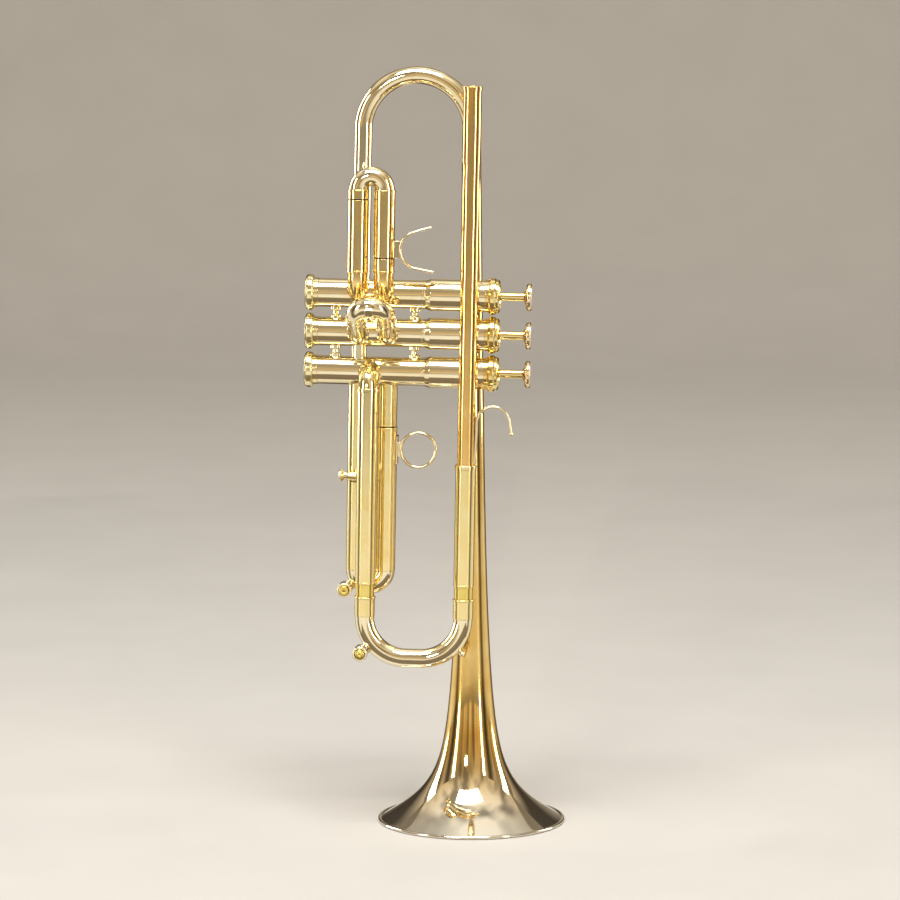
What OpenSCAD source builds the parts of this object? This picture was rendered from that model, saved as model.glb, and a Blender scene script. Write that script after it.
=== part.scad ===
// A B-flat trumpet, standing on its bell rim with the mouthpiece receiver at the top.
// Frame: origin at the centre of the bell mouth, +Z up along the bell, +X towards the finger buttons,
// -Y towards the leadpipe side. The valve block, the leadpipe and the slides lean a little from the bell.
// Everything but the bell is drawn in the block frame, whose own X and Z turn with that lean.

/* [Bell] */
// Diameter of the bell mouth, rim wire included
bell_d = 123; // [110:1:130]
// Height of the straight part of the bell, mouth to bow
bell_h = 453.8; // [440:0.2:470]
// Wall of the bell, bow and tail
bell_wall = 0.6; // [0.5:0.05:0.8]
// Radius of the bell bow's centreline
bow_r = 35; // [33:0.5:36]

/* [Valves] */
// Lean of the valve block from the bell axis, in degrees
lean = 1.03; // [0.9:0.01:1.1]
// Height of the first valve's axis in the block frame
valve_z = 348.15; // [347:0.05:349]
// Distance between neighbouring valve axes
valve_pitch = 25; // [24.8:0.1:25.4]
// Diameter of a piston
piston_d = 16.8; // [16.5:0.05:16.8]
// Distance that a finger button goes down
valve_travel = 16; // [14:0.5:16]
// Diameter of a finger button
button_d = 18.3; // [16:0.1:19]

/* [Slides] */
// Distance between the two legs of the main tuning slide
tuning_span = 63.8; // [62:0.1:64]
// Distance that the main tuning slide stands pulled out
tuning_pull = 8.2; // [4:0.2:10]
// Diameter of the mouthpiece receiver
receiver_d = 11.9; // [11.5:0.1:12.2]
// Outer diameter of a fixed slide sleeve
sleeve_d = 13; // [12.9:0.05:13.2]
// Outer diameter of an inner slide leg
leg_d = 12.1; // [11.9:0.05:12.1]

/* [Hidden] */

$fn = 64;
silver = [0.86, 0.80, 0.66];
gold = [0.83, 0.66, 0.32];
brass = [0.80, 0.65, 0.22];
pearl = [0.95, 0.90, 0.86];
nickel = [0.72, 0.72, 0.70];
felt_red = [0.45, 0.10, 0.10];
steel = [0.62, 0.63, 0.65];

// gaps between pieces
joint_gap = 0.02;
run_gap = 0.05;
sleeve_gap = 0.3;

// the raised ring at a sleeve's end
ring_h = 1.3;
ring_lip = 0.3;

// depths of the three layers, measured from the bell's own plane
valve_y = -20;
pipe_y = -38;
first_slide_y = -30;

// bell outline
flare_a = 32.81;
flare_len = 18;
flare_pow = 1.2;
throat_a = 18.11;
throat_len = 60;
stem_a = 10.78;
stem_taper = 0.01054;
rim_wire_r = 0.6;
rim_bead_r = 1.15;
rim_land = 0.5;
mouth_z = rim_bead_r + 0.3;
flare_steps = 40;
flare_end = 14;

// bow and tail
tube_r = 5.75;
elbow_r = 11;
bow_a = 180 - lean;
bow_z = bell_h + joint_gap;
tail_x = to_block([-bow_r + bow_r * cos(bow_a), bow_z + bow_r * sin(bow_a)])[0];
tail_z = to_block([-bow_r + bow_r * cos(bow_a), bow_z + bow_r * sin(bow_a)])[1];

// valve casings, along the block's X
casing_r = 9.3;
casing_top_r = 10.45;
casing_x0 = -103.5;
shoulder_x0 = -34.1;
shoulder_x1 = -30.9;
casing_x1 = 6.6;
ledge_x = -31;
bore_r = piston_d / 2 + 0.03;
top_bore_r = 9.35;
casing_port_r = 4.6;
upper_passage_x = -67.5;
passage_r = 4.9;
passage_bore_r = 4.3;
neck_len = 4.5;
neck_r = 8.9;
top_neck_r = 9.95;

// caps
bottom_cap_x0 = -112;
bottom_cap_x1 = -106.6;
bottom_cap_r = 11.65;
top_cap_x1 = 13.6;
top_cap_r = 12;
stem_hole_r = 3.4;
felt_r = 7.4;
felt_seat = 2.2;
felt_t = 1.55;

// pistons
piston_x0 = -86.5;
piston_x1 = -33.5;
port_bore_r = 5.3;
barrel_x1 = 4.2;
barrel_r = 8.1;
barrel_bore_r = 7.3;
slot_w = 5;
slot_x0 = -32.4;
guide_x0 = ledge_x + joint_gap;
guide_t = 1.8;
stem_r = 2.8;
stem_x1 = 30;
cork_t = 1.2;
spring_wire = 0.7;
spring_turns = 8;

// the two fixed depths of the slides' legs along the block's X
leg_a_x = -77;
leg_b_x = -58;
leg_r = leg_d / 2;
leg_bore_r = 5.5;
sleeve_r = sleeve_d / 2;
sleeve_bore_r = leg_r + run_gap;
bead_r = sleeve_r + 0.45;
crook_tube_r = 6.3;
crook_wall = 0.7;
port_bore = 5.2;

// main tuning slide
pipe_x = -5.55;
lower_x = pipe_x - tuning_span;
sleeve_end_z = 161.7;
sleeve_top_z = 238;
ferrule_top_z = sleeve_end_z - tuning_pull;
ferrule_len = 12.8;
crook_top_z = ferrule_top_z - ferrule_len;
crook_bend_r = 27;
crook_r = 6.15;
tuning_leg_top_z = 225;
lower_elbow_r = 10.65;
valve_3_z = valve_z - 2 * valve_pitch;

// leadpipe and receiver
pipe_r = 5.65;
pipe_end_z = 236;
receiver_z0 = 434.7;
receiver_z1 = 483.3;
receiver_mouth_r = 5.45;
receiver_land = 4;
shank_len = 28;
shank_taper = 0.7;

// pinky hook
hook_x = 11.5;
hook_z = 268.2;
hook_r = 10.6;
hook_t = 2;
hook_open_a = 10;
hook_arm = 9;
hook_w = 4.6;
hook_foot_z = 241.5;

// braces
brace_r = 1.75;
brace_flange_r = 3.4;
brace_flange_t = 1.1;
casing_brace_x = [-92.4, -41.2];
bell_brace_z = [404, 268];

// first slide
first_a_x = -77.9;
first_b_x = -61.1;
first_ring_z = 362.6;
first_sleeve_z = 372.4;
first_fixed_top_z = 409.1;
first_crook_z = 415.8;
first_leg_z = 369;
first_inner_top_z = 405;
first_sleeve_r = 6.8;
first_gap_z = first_sleeve_z - sleeve_gap;
first_moving_z = first_fixed_top_z + sleeve_gap;
first_collar_r = first_sleeve_r + ring_lip;
knuckle_r = 10;
knuckle_tube_r = 6.3;

// thumb saddle
saddle_x = -38.6;
saddle_z = 377.8;
saddle_r = 12;
saddle_t = 1.6;
saddle_w = 8;
saddle_top_a = 107;
saddle_low_a = 260;
saddle_tip = 12;
saddle_foot_w = 4;
saddle_foot_h = 11;

// second slide: each leg leaves its casing level, and a knuckle turns it up to the slide's own tilt
second_a = 38;
second_out = 6.5;
second_bend = 13;
second_inner = 0.8;
second_fixed = 11.2;
second_lap = 0.4;
second_ferrule = 15.4;
second_straight = 17.5;
nib_w = 5.2;
nib_h = 4.4;
nib_out = 2.6;
nib_a = 58;

// third slide
third_ring_z = 261.9;
third_split_z = 226.5;
third_crook_z = 168;
third_leg_top_z = 281;
ring_x = -37.6;
ring_z = 247.3;
ring_r = 12.1;
ring_t = 1.7;
ring_w = 4.6;
screw_y = -29.2;
screw_z = 230.5;
screw_r = 1.4;
screw_x0 = -87.8;
lug_x0 = -82.2;
lug_x1 = -76.6;
lug_r = 3.2;
lug_web = 5.6;
screw_head_r = 4.1;
screw_neck_r = 2.5;
screw_tip = 1.2;
third_inner_low_z = 222;
third_collar_r = 6.3;
third_port_z = 284;

// water keys
key_r = 4.7;
key_bore_r = 3.45;
key_len = 13;
key_wall = 1.2;
plunger_r = 3.4;
key_tip = 7.9;
key_turns = 3;
tuning_key_x = -71.6;
tuning_key_z = 116.3;
third_key_x = -84;
third_key_z = 154.7;

function to_block(p) = [p[0] * cos(lean) - p[1] * sin(lean), p[1] * cos(lean) + p[0] * sin(lean)];
function valve_at(i) = valve_z - (i - 1) * valve_pitch;
function flare_r(z) = flare_a * bell_d / 123 * exp(-pow(z / flare_len, flare_pow))
    + throat_a * exp(-z / throat_len) + stem_a - stem_taper * z;
function flare_slope(z) = (flare_r(z + 0.05) - flare_r(z - 0.05)) / 0.1;
// heights crowd towards the mouth, where the flare opens fastest
function flare_z(i) = mouth_z + (bell_h - mouth_z) * pow(i / flare_steps, 2.2);
// the inner face of the wall, one wall thickness in from the outer face
function flare_inner(z) = let (n = sqrt(1 + pow(flare_slope(z), 2)))
    [flare_r(z) - bell_wall / n, z + bell_wall * flare_slope(z) / n];

// ---- shared shapes ----

module block() {
    rotate([0, lean, 0]) children();
}

// a ring or rod standing along Z
module ring_z(x, y, z0, z1, r, bore = 0) {
    translate([x, y, z0]) difference() {
        cylinder(r = r, h = z1 - z0);
        if (bore > 0) translate([0, 0, -1]) cylinder(r = bore, h = z1 - z0 + 2);
    }
}

// a rod along the block's X, on a valve's axis
module rod_x(x0, x1, r) {
    translate([x0, 0, 0]) rotate([0, 90, 0]) cylinder(r = r, h = x1 - x0);
}

module at_valve(i) {
    block() translate([0, valve_y, valve_at(i)]) children();
}

// a straight-sided tube turned from an outline of [x, radius] points round the X axis
module lathe_x(points) {
    rotate([0, 90, 0]) rotate_extrude() polygon([for (p = points) [p[1], p[0]]]);
}

// part of a torus round the origin in the XZ plane, from angle a0 (0 is +X, 90 is +Z) over angle da
module arc_xz(bend, r, a0, da) {
    rotate([90, 0, 0]) rotate([0, 0, a0]) rotate_extrude(angle = da) translate([bend, 0]) circle(r = r);
}

// the same in the YZ plane, where 0 is +Y and 90 is +Z
module arc_yz(bend, r, a0, da) {
    rotate([90, 0, 90]) rotate([0, 0, a0]) rotate_extrude(angle = da) translate([bend, 0]) circle(r = r);
}

// a U-shaped crook: two legs along Z joined by a half torus, opening upwards
module u_bend(x_a, x_b, r, up) {
    translate([(x_a + x_b) / 2, 0, 0]) arc_xz((x_b - x_a) / 2, r, up > 0 ? 0 : 180, 180);
}

module casing_cut(i) {
    translate([0, valve_y, valve_at(i)]) rod_x(casing_x0, shoulder_x0, casing_r + joint_gap);
}

// ---- bell ----

// a turned length of the bell's wall between two stations of its outline
module bell_wall_run(i0, i1) {
    outer = [for (i = [i0 : i1]) [flare_r(flare_z(i)), flare_z(i)]];
    inner = [for (i = [i1 : -1 : i0]) flare_inner(flare_z(i))];
    lip = i1 == flare_steps ? [[flare_r(bell_h) - bell_wall, bell_h]] : [];
    polygon(concat(outer, lip, inner));
}

// the flare with its rolled rim, hollow for the rim wire, and a flat land to stand on
module bell_flare() {
    rim_r = bell_d / 2 - rim_bead_r;
    color(silver) difference() {
        rotate_extrude($fn = 128) union() {
            bell_wall_run(0, flare_end);
            translate([rim_r, rim_bead_r]) circle(r = rim_bead_r, $fn = 32);
            translate([rim_r - rim_land / 2, 0]) square([rim_land, rim_bead_r]);
        }
        rotate_extrude($fn = 128) translate([rim_r, rim_bead_r]) circle(r = rim_wire_r + run_gap, $fn = 24);
    }
}

module bell_stem() {
    color(silver) rotate_extrude($fn = 128) bell_wall_run(flare_end, flare_steps);
}

module bell_rim_wire() {
    rim_r = bell_d / 2 - rim_bead_r;
    color(brass) rotate_extrude($fn = 128) translate([rim_r, rim_bead_r]) circle(r = rim_wire_r, $fn = 24);
}

module bow_run(r) {
    translate([-bow_r, 0, bow_z]) arc_xz(bow_r, r, 0, bow_a);
    block() {
        ring_z(tail_x, 0, valve_z + elbow_r, tail_z, r);
        translate([tail_x, -elbow_r, valve_z + elbow_r]) arc_yz(elbow_r, r, 270, 90);
        translate([tail_x, -elbow_r, valve_z]) rotate([90, 0, 0]) cylinder(r = r, h = 3);
    }
}

module bell_bow() {
    color(silver) difference() {
        bow_run(tube_r);
        bow_run(tube_r - bell_wall);
        block() casing_cut(1);
    }
}

module bell_braces() {
    color(silver) for (z = bell_brace_z) {
        bell_side = -flare_r(z) - joint_gap;
        pipe_side = pipe_y + pipe_r + joint_gap;
        x = pipe_x + z * sin(lean);
        difference() {
            translate([x / 2, 0, z]) rotate([90, 0, 0]) {
                translate([0, 0, 3]) cylinder(r = brace_r, h = -pipe_y - 6);
                translate([0, 0, 3]) cylinder(r = brace_flange_r, h = -bell_side + brace_flange_t - 3);
                translate([0, 0, -pipe_side - brace_flange_t])
                    cylinder(r = brace_flange_r, h = brace_flange_t + 3);
            }
            ring_z(0, 0, z - 10, z + 10, flare_r(z - 6) + joint_gap);
            block() ring_z(pipe_x, pipe_y, z - 10, z + 10, pipe_r + joint_gap);
        }
    }
}

// ---- leadpipe side ----

module mouthpiece_receiver() {
    color(silver) block() translate([pipe_x, pipe_y, 0]) difference() {
        union() {
            ring_z(0, 0, receiver_z0, receiver_z1, receiver_d / 2);
            ring_z(0, 0, receiver_z1 - 2.4, receiver_z1, receiver_d / 2 + 0.3);
        }
        translate([0, 0, receiver_z1 - receiver_land]) cylinder(r = receiver_mouth_r, h = receiver_land + 1);
        translate([0, 0, receiver_z1 - receiver_land - shank_len])
            cylinder(r1 = receiver_mouth_r - shank_taper, r2 = receiver_mouth_r, h = shank_len);
        translate([0, 0, receiver_z0 - 1]) cylinder(r = receiver_mouth_r - shank_taper, h = 20);
    }
}

module leadpipe() {
    color(silver) block() {
        ring_z(pipe_x, pipe_y, pipe_end_z, receiver_z0 - joint_gap, pipe_r, pipe_r - 0.6);
    }
}

module tuning_sleeve_upper() {
    color(silver) block() translate([pipe_x, pipe_y, 0]) difference() {
        union() {
            ring_z(0, 0, sleeve_end_z, sleeve_top_z, sleeve_r);
            ring_z(0, 0, sleeve_top_z, sleeve_top_z + 2.8, bead_r);
            ring_z(0, 0, sleeve_end_z, sleeve_end_z + 1.2, sleeve_r + 0.2);
        }
        ring_z(0, 0, sleeve_end_z - 1, pipe_end_z - joint_gap, sleeve_bore_r);
        ring_z(0, 0, pipe_end_z - 1, sleeve_top_z + 5, pipe_r + joint_gap);
    }
}

module lower_run(r) {
    ring_z(lower_x, pipe_y, sleeve_end_z, valve_3_z - lower_elbow_r, r);
    translate([lower_x, pipe_y + lower_elbow_r, valve_3_z - lower_elbow_r]) arc_yz(lower_elbow_r, r, 90, 90);
    translate([lower_x, pipe_y + lower_elbow_r, valve_3_z]) rotate([-90, 0, 0]) cylinder(r = r, h = 4);
}

module tuning_sleeve_lower() {
    color(silver) block() difference() {
        union() {
            lower_run(sleeve_r);
            ring_z(lower_x, pipe_y, valve_3_z - lower_elbow_r - 1, valve_3_z - lower_elbow_r + 0.8, bead_r);
            ring_z(lower_x, pipe_y, sleeve_end_z, sleeve_end_z + 1.2, sleeve_r + 0.2);
        }
        lower_run(sleeve_bore_r);
        casing_cut(3);
    }
}

module pinky_hook() {
    foot_x = pipe_x + pipe_r + joint_gap;
    stem_x = hook_x - hook_r;
    color(silver) block() difference() {
        translate([0, pipe_y + hook_w / 2, 0]) rotate([90, 0, 0]) linear_extrude(height = hook_w) {
            difference() {
                translate([hook_x, hook_z]) circle(r = hook_r + hook_t / 2);
                translate([hook_x, hook_z]) circle(r = hook_r - hook_t / 2);
                translate([hook_x, hook_z]) polygon([
                    [-2 * hook_r, 0], [0, 0], 2 * hook_r * [cos(hook_open_a), sin(hook_open_a)],
                    [2 * hook_r, -2 * hook_r], [-2 * hook_r, -2 * hook_r]
                ]);
            }
            polygon([
                [pipe_x, hook_foot_z], [foot_x + 0.6, hook_foot_z], [stem_x + hook_t / 2, hook_z - 8],
                [stem_x + hook_t / 2, hook_z], [stem_x - hook_t / 2, hook_z], [pipe_x, hook_z - 12]
            ]);
            translate([hook_x, hook_z]) rotate(hook_open_a) translate([hook_r - hook_t / 2, -hook_arm])
                square([hook_t, hook_arm]);
            translate([hook_x, hook_z]) rotate(hook_open_a) translate([hook_r, -hook_arm])
                circle(r = hook_t / 2 + 0.3, $fn = 24);
        }
        ring_z(pipe_x, pipe_y, hook_foot_z - 5, hook_z + 10, foot_x - pipe_x);
    }
}

// ---- valve block ----

module casing(i, ports) {
    color(silver) at_valve(i) difference() {
        union() {
            rod_x(casing_x0, shoulder_x0, casing_r);
            rod_x(casing_x0 - neck_len, casing_x0, neck_r);
            rod_x(shoulder_x0 - 1.8, shoulder_x0 - 0.6, casing_r + 0.3);
            lathe_x([
                [shoulder_x0, 0], [shoulder_x0, casing_r], [shoulder_x1, casing_top_r], [shoulder_x1, 0]
            ]);
            rod_x(shoulder_x1, casing_x1 - 2.2, casing_top_r);
            rod_x(casing_x1 - 2.2, casing_x1 + 3, top_neck_r);
        }
        rod_x(casing_x0 - neck_len - 1, ledge_x, bore_r);
        rod_x(ledge_x, casing_x1 + 4, top_bore_r);
        // a port is a hole at p[0] along X, drilled outwards at angle p[1] round the axis from +Z
        for (p = ports) translate([p[0], 0, 0]) rotate([p[1], 0, 0]) cylinder(r = casing_port_r, h = 15);
    }
}

module valve_casing_1() {
    casing(1, [[tail_x, -90], [first_a_x, 90], [first_b_x, 90], [upper_passage_x, 180]]);
}

module valve_casing_2() {
    casing(2, [[upper_passage_x, 0], [leg_a_x, 90], [leg_b_x, 90], [leg_a_x, 180]]);
}

module valve_casing_3() {
    casing(3, [[leg_a_x, 0], [lower_x, 90], [leg_a_x, 180], [leg_b_x, 180]]);
}

// a waisted spool between two casings
module spool() {
    color(silver) difference() {
        union() {
            ring_z(0, 0, -valve_pitch / 2, valve_pitch / 2, brace_r);
            for (s = [-1, 1]) {
                translate([0, 0, s * (valve_pitch / 2 - casing_r - brace_flange_t / 2)])
                    cylinder(r = brace_flange_r, h = brace_flange_t * 1.6, center = true);
            }
        }
        for (s = [-1, 1]) {
            translate([0, 0, s * valve_pitch / 2]) rod_x(-8, 8, casing_r + joint_gap);
        }
    }
}

module casing_braces() {
    for (i = [1, 2], x = casing_brace_x) {
        at_valve(i) translate([x, 0, -valve_pitch / 2]) spool();
    }
}

module passage(x) {
    difference() {
        ring_z(x, 0, -valve_pitch, 0, passage_r, passage_bore_r);
        for (z = [-valve_pitch, 0]) {
            translate([0, 0, z]) rod_x(casing_x0, shoulder_x0, casing_r + joint_gap);
        }
    }
}

module passage_tubes() {
    color(silver) at_valve(1) passage(upper_passage_x);
    color(silver) at_valve(2) passage(leg_a_x);
}

module bottom_caps() {
    color(gold) for (i = [1 : 3]) at_valve(i) difference() {
        lathe_x([
            [bottom_cap_x0, 0], [bottom_cap_x0, bottom_cap_r - 2], [bottom_cap_x0 + 0.6, bottom_cap_r - 0.7],
            [bottom_cap_x0 + 1.8, bottom_cap_r], [bottom_cap_x1 - 1, bottom_cap_r],
            [bottom_cap_x1, bottom_cap_r - 0.6], [bottom_cap_x1, casing_r + 0.25],
            [casing_x0 - joint_gap, casing_r + 0.25], [casing_x0 - joint_gap, 0]
        ]);
        rod_x(casing_x0 - neck_len - joint_gap, casing_x0 + 1, neck_r + joint_gap);
        rod_x(bottom_cap_x0 - 1, bottom_cap_x0 + 2, 1.6);
        rod_x(bottom_cap_x0 + 1.8, casing_x0 - neck_len, 7.4);
    }
}

module top_caps() {
    color(gold) for (i = [1 : 3]) at_valve(i) difference() {
        lathe_x([
            [casing_x1 - 2.18, 0], [casing_x1 - 2.18, casing_top_r + 0.15], [casing_x1, casing_top_r + 0.15],
            [casing_x1, top_cap_r - 0.7], [casing_x1 + 1, top_cap_r], [casing_x1 + 3.6, top_cap_r],
            [casing_x1 + 4.4, top_cap_r - 0.8], [top_cap_x1 - 1, top_cap_r - 1.1],
            [top_cap_x1, top_cap_r - 2.4], [top_cap_x1, 0]
        ]);
        rod_x(casing_x1 - 3, casing_x1 + 3 + joint_gap, top_neck_r + joint_gap);
        rod_x(casing_x1 + 2, top_cap_x1 - felt_seat - 1.2, top_bore_r - 1.2);
        rod_x(casing_x1, top_cap_x1 + 1, stem_hole_r);
        rod_x(top_cap_x1 - felt_seat, top_cap_x1 + 1, felt_r + joint_gap);
    }
}

module cap_felts() {
    color(felt_red) for (i = [1 : 3]) at_valve(i) difference() {
        rod_x(top_cap_x1 - felt_seat + joint_gap, top_cap_x1 - felt_seat + felt_t, felt_r);
        rod_x(top_cap_x1 - 3, top_cap_x1 + 1, stem_hole_r);
    }
}

// a disc with two wings that pass through the barrel's slots and lie on the casing's ledge
module valve_guides() {
    color(brass) for (i = [1 : 3]) at_valve(i) union() {
        rod_x(guide_x0, guide_x0 + guide_t, barrel_bore_r - 0.3);
        translate([guide_x0, -top_bore_r + 0.35, -slot_w / 2 + 0.4])
            cube([guide_t, 2 * top_bore_r - 0.7, slot_w - 0.8]);
    }
}

module piston(i) {
    color(nickel) at_valve(i) difference() {
        union() {
            rod_x(piston_x0, piston_x1, piston_d / 2);
            rod_x(piston_x1, barrel_x1, barrel_r);
        }
        // three cross bores and the two hollow ends
        for (k = [0 : 2]) {
            translate([piston_x0 + 13.5 + k * 14.3, 0, 0]) rotate([45 * k, 0, 0])
                cylinder(r = port_bore_r, h = 30, center = true);
        }
        rod_x(piston_x0 - 1, piston_x0 + 6, 7.2);
        rod_x(piston_x1 - 1, barrel_x1 - 1.4, barrel_bore_r);
        rod_x(piston_x1, barrel_x1 + 1, 2.4);
        translate([slot_x0, -12, -slot_w / 2]) cube([valve_travel + guide_t + 2.4, 24, slot_w]);
    }
}

module piston_1() { piston(1); }
module piston_2() { piston(2); }
module piston_3() { piston(3); }

// a round wire of radius wire wound at radius r along X
module coil(r, wire, x0, x1, turns) {
    steps = turns * 14;
    sides = 6;
    function on(k, s) = let (
        t = k / steps,
        a = 360 * turns * t,
        b = 360 * s / sides,
        rr = r + wire * cos(b)
    ) [x0 + (x1 - x0) * t + wire * sin(b), rr * cos(a), rr * sin(a)];
    points = [for (k = [0 : steps], s = [0 : sides - 1]) on(k, s)];
    walls = [for (k = [0 : steps - 1], s = [0 : sides - 1])
        [k * sides + s, k * sides + (s + 1) % sides, (k + 1) * sides + (s + 1) % sides, (k + 1) * sides + s]];
    start = [for (s = [sides - 1 : -1 : 0]) s];
    end = [for (s = [0 : sides - 1]) steps * sides + s];
    polyhedron(points = points, faces = concat(walls, [start, end]), convexity = 10);
}

module valve_spring(i) {
    color(steel) at_valve(i)
        coil(5.9, spring_wire / 2, guide_x0 + guide_t + 0.6, barrel_x1 - 2.2, spring_turns);
}

module valve_spring_1() { valve_spring(1); }
module valve_spring_2() { valve_spring(2); }
module valve_spring_3() { valve_spring(3); }

module valve_stem(i) {
    color(gold) at_valve(i) difference() {
        union() {
            rod_x(barrel_x1 - 1.3, barrel_x1 + joint_gap, 2.35);
            rod_x(barrel_x1 + joint_gap, barrel_x1 + 1.2, 4.6);
            rod_x(barrel_x1 + 1.2, stem_x1 - 1, stem_r);
            rod_x(stem_x1 - 1, stem_x1 + 2.2, 1.8);
        }
    }
}

module valve_stem_1() { valve_stem(1); }
module valve_stem_2() { valve_stem(2); }
module valve_stem_3() { valve_stem(3); }

module valve_cork(i) {
    color(felt_red) at_valve(i) difference() {
        rod_x(barrel_x1 + joint_gap, barrel_x1 + cork_t, 7.6);
        rod_x(barrel_x1 - 1, barrel_x1 + 2, 4.65);
    }
}

module valve_cork_1() { valve_cork(1); }
module valve_cork_2() { valve_cork(2); }
module valve_cork_3() { valve_cork(3); }

module finger_button(i) {
    r = button_d / 2;
    color(gold) at_valve(i) difference() {
        lathe_x([
            [stem_x1 - 0.98, 0], [stem_x1 - 0.98, 3.2], [stem_x1, 4.4], [stem_x1 + 0.5, r - 1.4],
            [stem_x1 + 1.3, r - 0.3], [stem_x1 + 2.2, r], [stem_x1 + 3.3, r - 0.2], [stem_x1 + 3.8, r - 0.8],
            [stem_x1 + 3.8, 0]
        ]);
        rod_x(stem_x1 - 2, stem_x1 + 2.22, 1.82);
        rod_x(stem_x1 + 2.6, stem_x1 + 5, r - 1.5);
    }
}

module finger_button_1() { finger_button(1); }
module finger_button_2() { finger_button(2); }
module finger_button_3() { finger_button(3); }

module button_pearl(i) {
    r = button_d / 2 - 1.5 - joint_gap;
    x = stem_x1 + 2.6 + joint_gap;
    color(pearl) at_valve(i) lathe_x([
        [x, 0], [x, r], [x + 1, r], [x + 1.45, r * 0.86], [x + 1.7, r * 0.6], [x + 1.8, 0]
    ]);
}

module button_pearl_1() { button_pearl(1); }
module button_pearl_2() { button_pearl(2); }
module button_pearl_3() { button_pearl(3); }

// ---- first slide ----

module first_run(x, r, z1) {
    translate([x, first_slide_y + knuckle_r, valve_z + knuckle_r]) arc_yz(knuckle_r, r, 180, 90);
    ring_z(x, first_slide_y, valve_z + knuckle_r, z1, r);
}

module first_slide_ports() {
    color(silver) block() difference() {
        union() {
            for (x = [first_a_x, first_b_x]) {
                first_run(x, knuckle_tube_r, first_ring_z);
                ring_z(x, first_slide_y, first_ring_z, first_ring_z + ring_h, first_collar_r);
            }
            ring_z(first_a_x, first_slide_y, first_ring_z + ring_h, first_fixed_top_z, first_sleeve_r);
            ring_z(first_b_x, first_slide_y, first_ring_z + ring_h, first_gap_z, first_sleeve_r);
            ring_z(first_b_x, first_slide_y, first_gap_z, first_inner_top_z, leg_r);
        }
        for (x = [first_a_x, first_b_x]) {
            first_run(x, port_bore, first_ring_z + 3);
        }
        ring_z(first_a_x, first_slide_y, first_ring_z + 3, first_fixed_top_z + 1, sleeve_bore_r);
        ring_z(first_b_x, first_slide_y, first_ring_z + 3, first_inner_top_z + 1, leg_bore_r);
        casing_cut(1);
    }
}

module first_slide_tubes() {
    color(silver) block() {
        difference() {
            union() {
                ring_z(first_a_x, first_slide_y, first_leg_z, first_moving_z, leg_r);
                ring_z(first_a_x, first_slide_y, first_moving_z, first_crook_z, first_sleeve_r);
                ring_z(first_a_x, first_slide_y, first_crook_z - ring_h, first_crook_z, first_collar_r);
            }
            ring_z(first_a_x, first_slide_y, first_leg_z - 1, first_crook_z + 1, leg_bore_r);
        }
        difference() {
            union() {
                ring_z(first_b_x, first_slide_y, first_sleeve_z, first_crook_z, first_sleeve_r);
                ring_z(first_b_x, first_slide_y, first_crook_z - ring_h, first_crook_z, first_collar_r);
            }
            ring_z(first_b_x, first_slide_y, first_sleeve_z - 1, first_crook_z + 1, sleeve_bore_r);
        }
    }
}

module first_slide_crook() {
    color(silver) block() translate([0, first_slide_y, first_crook_z + joint_gap]) difference() {
        u_bend(first_a_x, first_b_x, crook_tube_r, 1);
        u_bend(first_a_x, first_b_x, crook_tube_r - crook_wall, 1);
    }
}

// an open C that the thumb pushes, with straight tips, on a foot soldered to the moving sleeve
module saddle_tip(a, turn) {
    translate([saddle_x + saddle_r * cos(a), saddle_z + saddle_r * sin(a)])
        rotate(turn) translate([-0.1, -saddle_t / 2]) square([saddle_tip, saddle_t]);
}

module thumb_saddle() {
    reach = 3 * saddle_r;
    back_x = first_b_x + first_sleeve_r + joint_gap;
    color(silver) block() {
        translate([0, first_slide_y + saddle_w / 2, 0]) rotate([90, 0, 0])
        linear_extrude(height = saddle_w) {
            difference() {
                translate([saddle_x, saddle_z]) circle(r = saddle_r + saddle_t / 2);
                translate([saddle_x, saddle_z]) circle(r = saddle_r - saddle_t / 2);
                translate([saddle_x, saddle_z]) polygon([
                    [0, 0], reach * [cos(saddle_top_a), sin(saddle_top_a)], [reach, reach],
                    [reach, -reach], reach * [cos(saddle_low_a), sin(saddle_low_a)]
                ]);
            }
            saddle_tip(saddle_top_a, saddle_top_a - 90);
            saddle_tip(saddle_low_a, saddle_low_a - 270);
        }
        difference() {
            translate([first_b_x, first_slide_y - saddle_foot_w / 2, saddle_z - saddle_foot_h / 2])
                cube([saddle_x - saddle_r - first_b_x + 2, saddle_foot_w, saddle_foot_h]);
            ring_z(first_b_x, first_slide_y, saddle_z - 10, saddle_z + 10, back_x - first_b_x);
            translate([saddle_x, first_slide_y, saddle_z]) rotate([90, 0, 0])
                cylinder(r = saddle_r, h = 20, center = true);
        }
    }
}

// ---- second slide ----

// the slide's own frame: its Z runs along the legs from the end of the knuckles
module second_frame() {
    at_valve(2) translate([0, -second_out - second_bend * sin(second_a), second_bend * (1 - cos(second_a))])
        rotate([90 - second_a, 0, 0]) children();
}

module second_knuckles(r) {
    at_valve(2) for (x = [leg_a_x, leg_b_x]) {
        translate([x, -second_out, second_bend]) arc_yz(second_bend, r, 270 - second_a, second_a);
    }
}

module second_slide_ports() {
    color(silver) difference() {
        union() {
            second_knuckles(knuckle_tube_r);
            second_frame() for (x = [leg_a_x, leg_b_x]) {
                ring_z(x, 0, -second_lap, second_fixed, sleeve_r);
                ring_z(x, 0, second_fixed - ring_h, second_fixed, sleeve_r + ring_lip);
            }
        }
        second_knuckles(port_bore);
        second_frame() for (x = [leg_a_x, leg_b_x]) {
            ring_z(x, 0, -second_lap / 2, second_fixed + 1, sleeve_bore_r);
        }
        block() casing_cut(2);
    }
}

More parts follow.
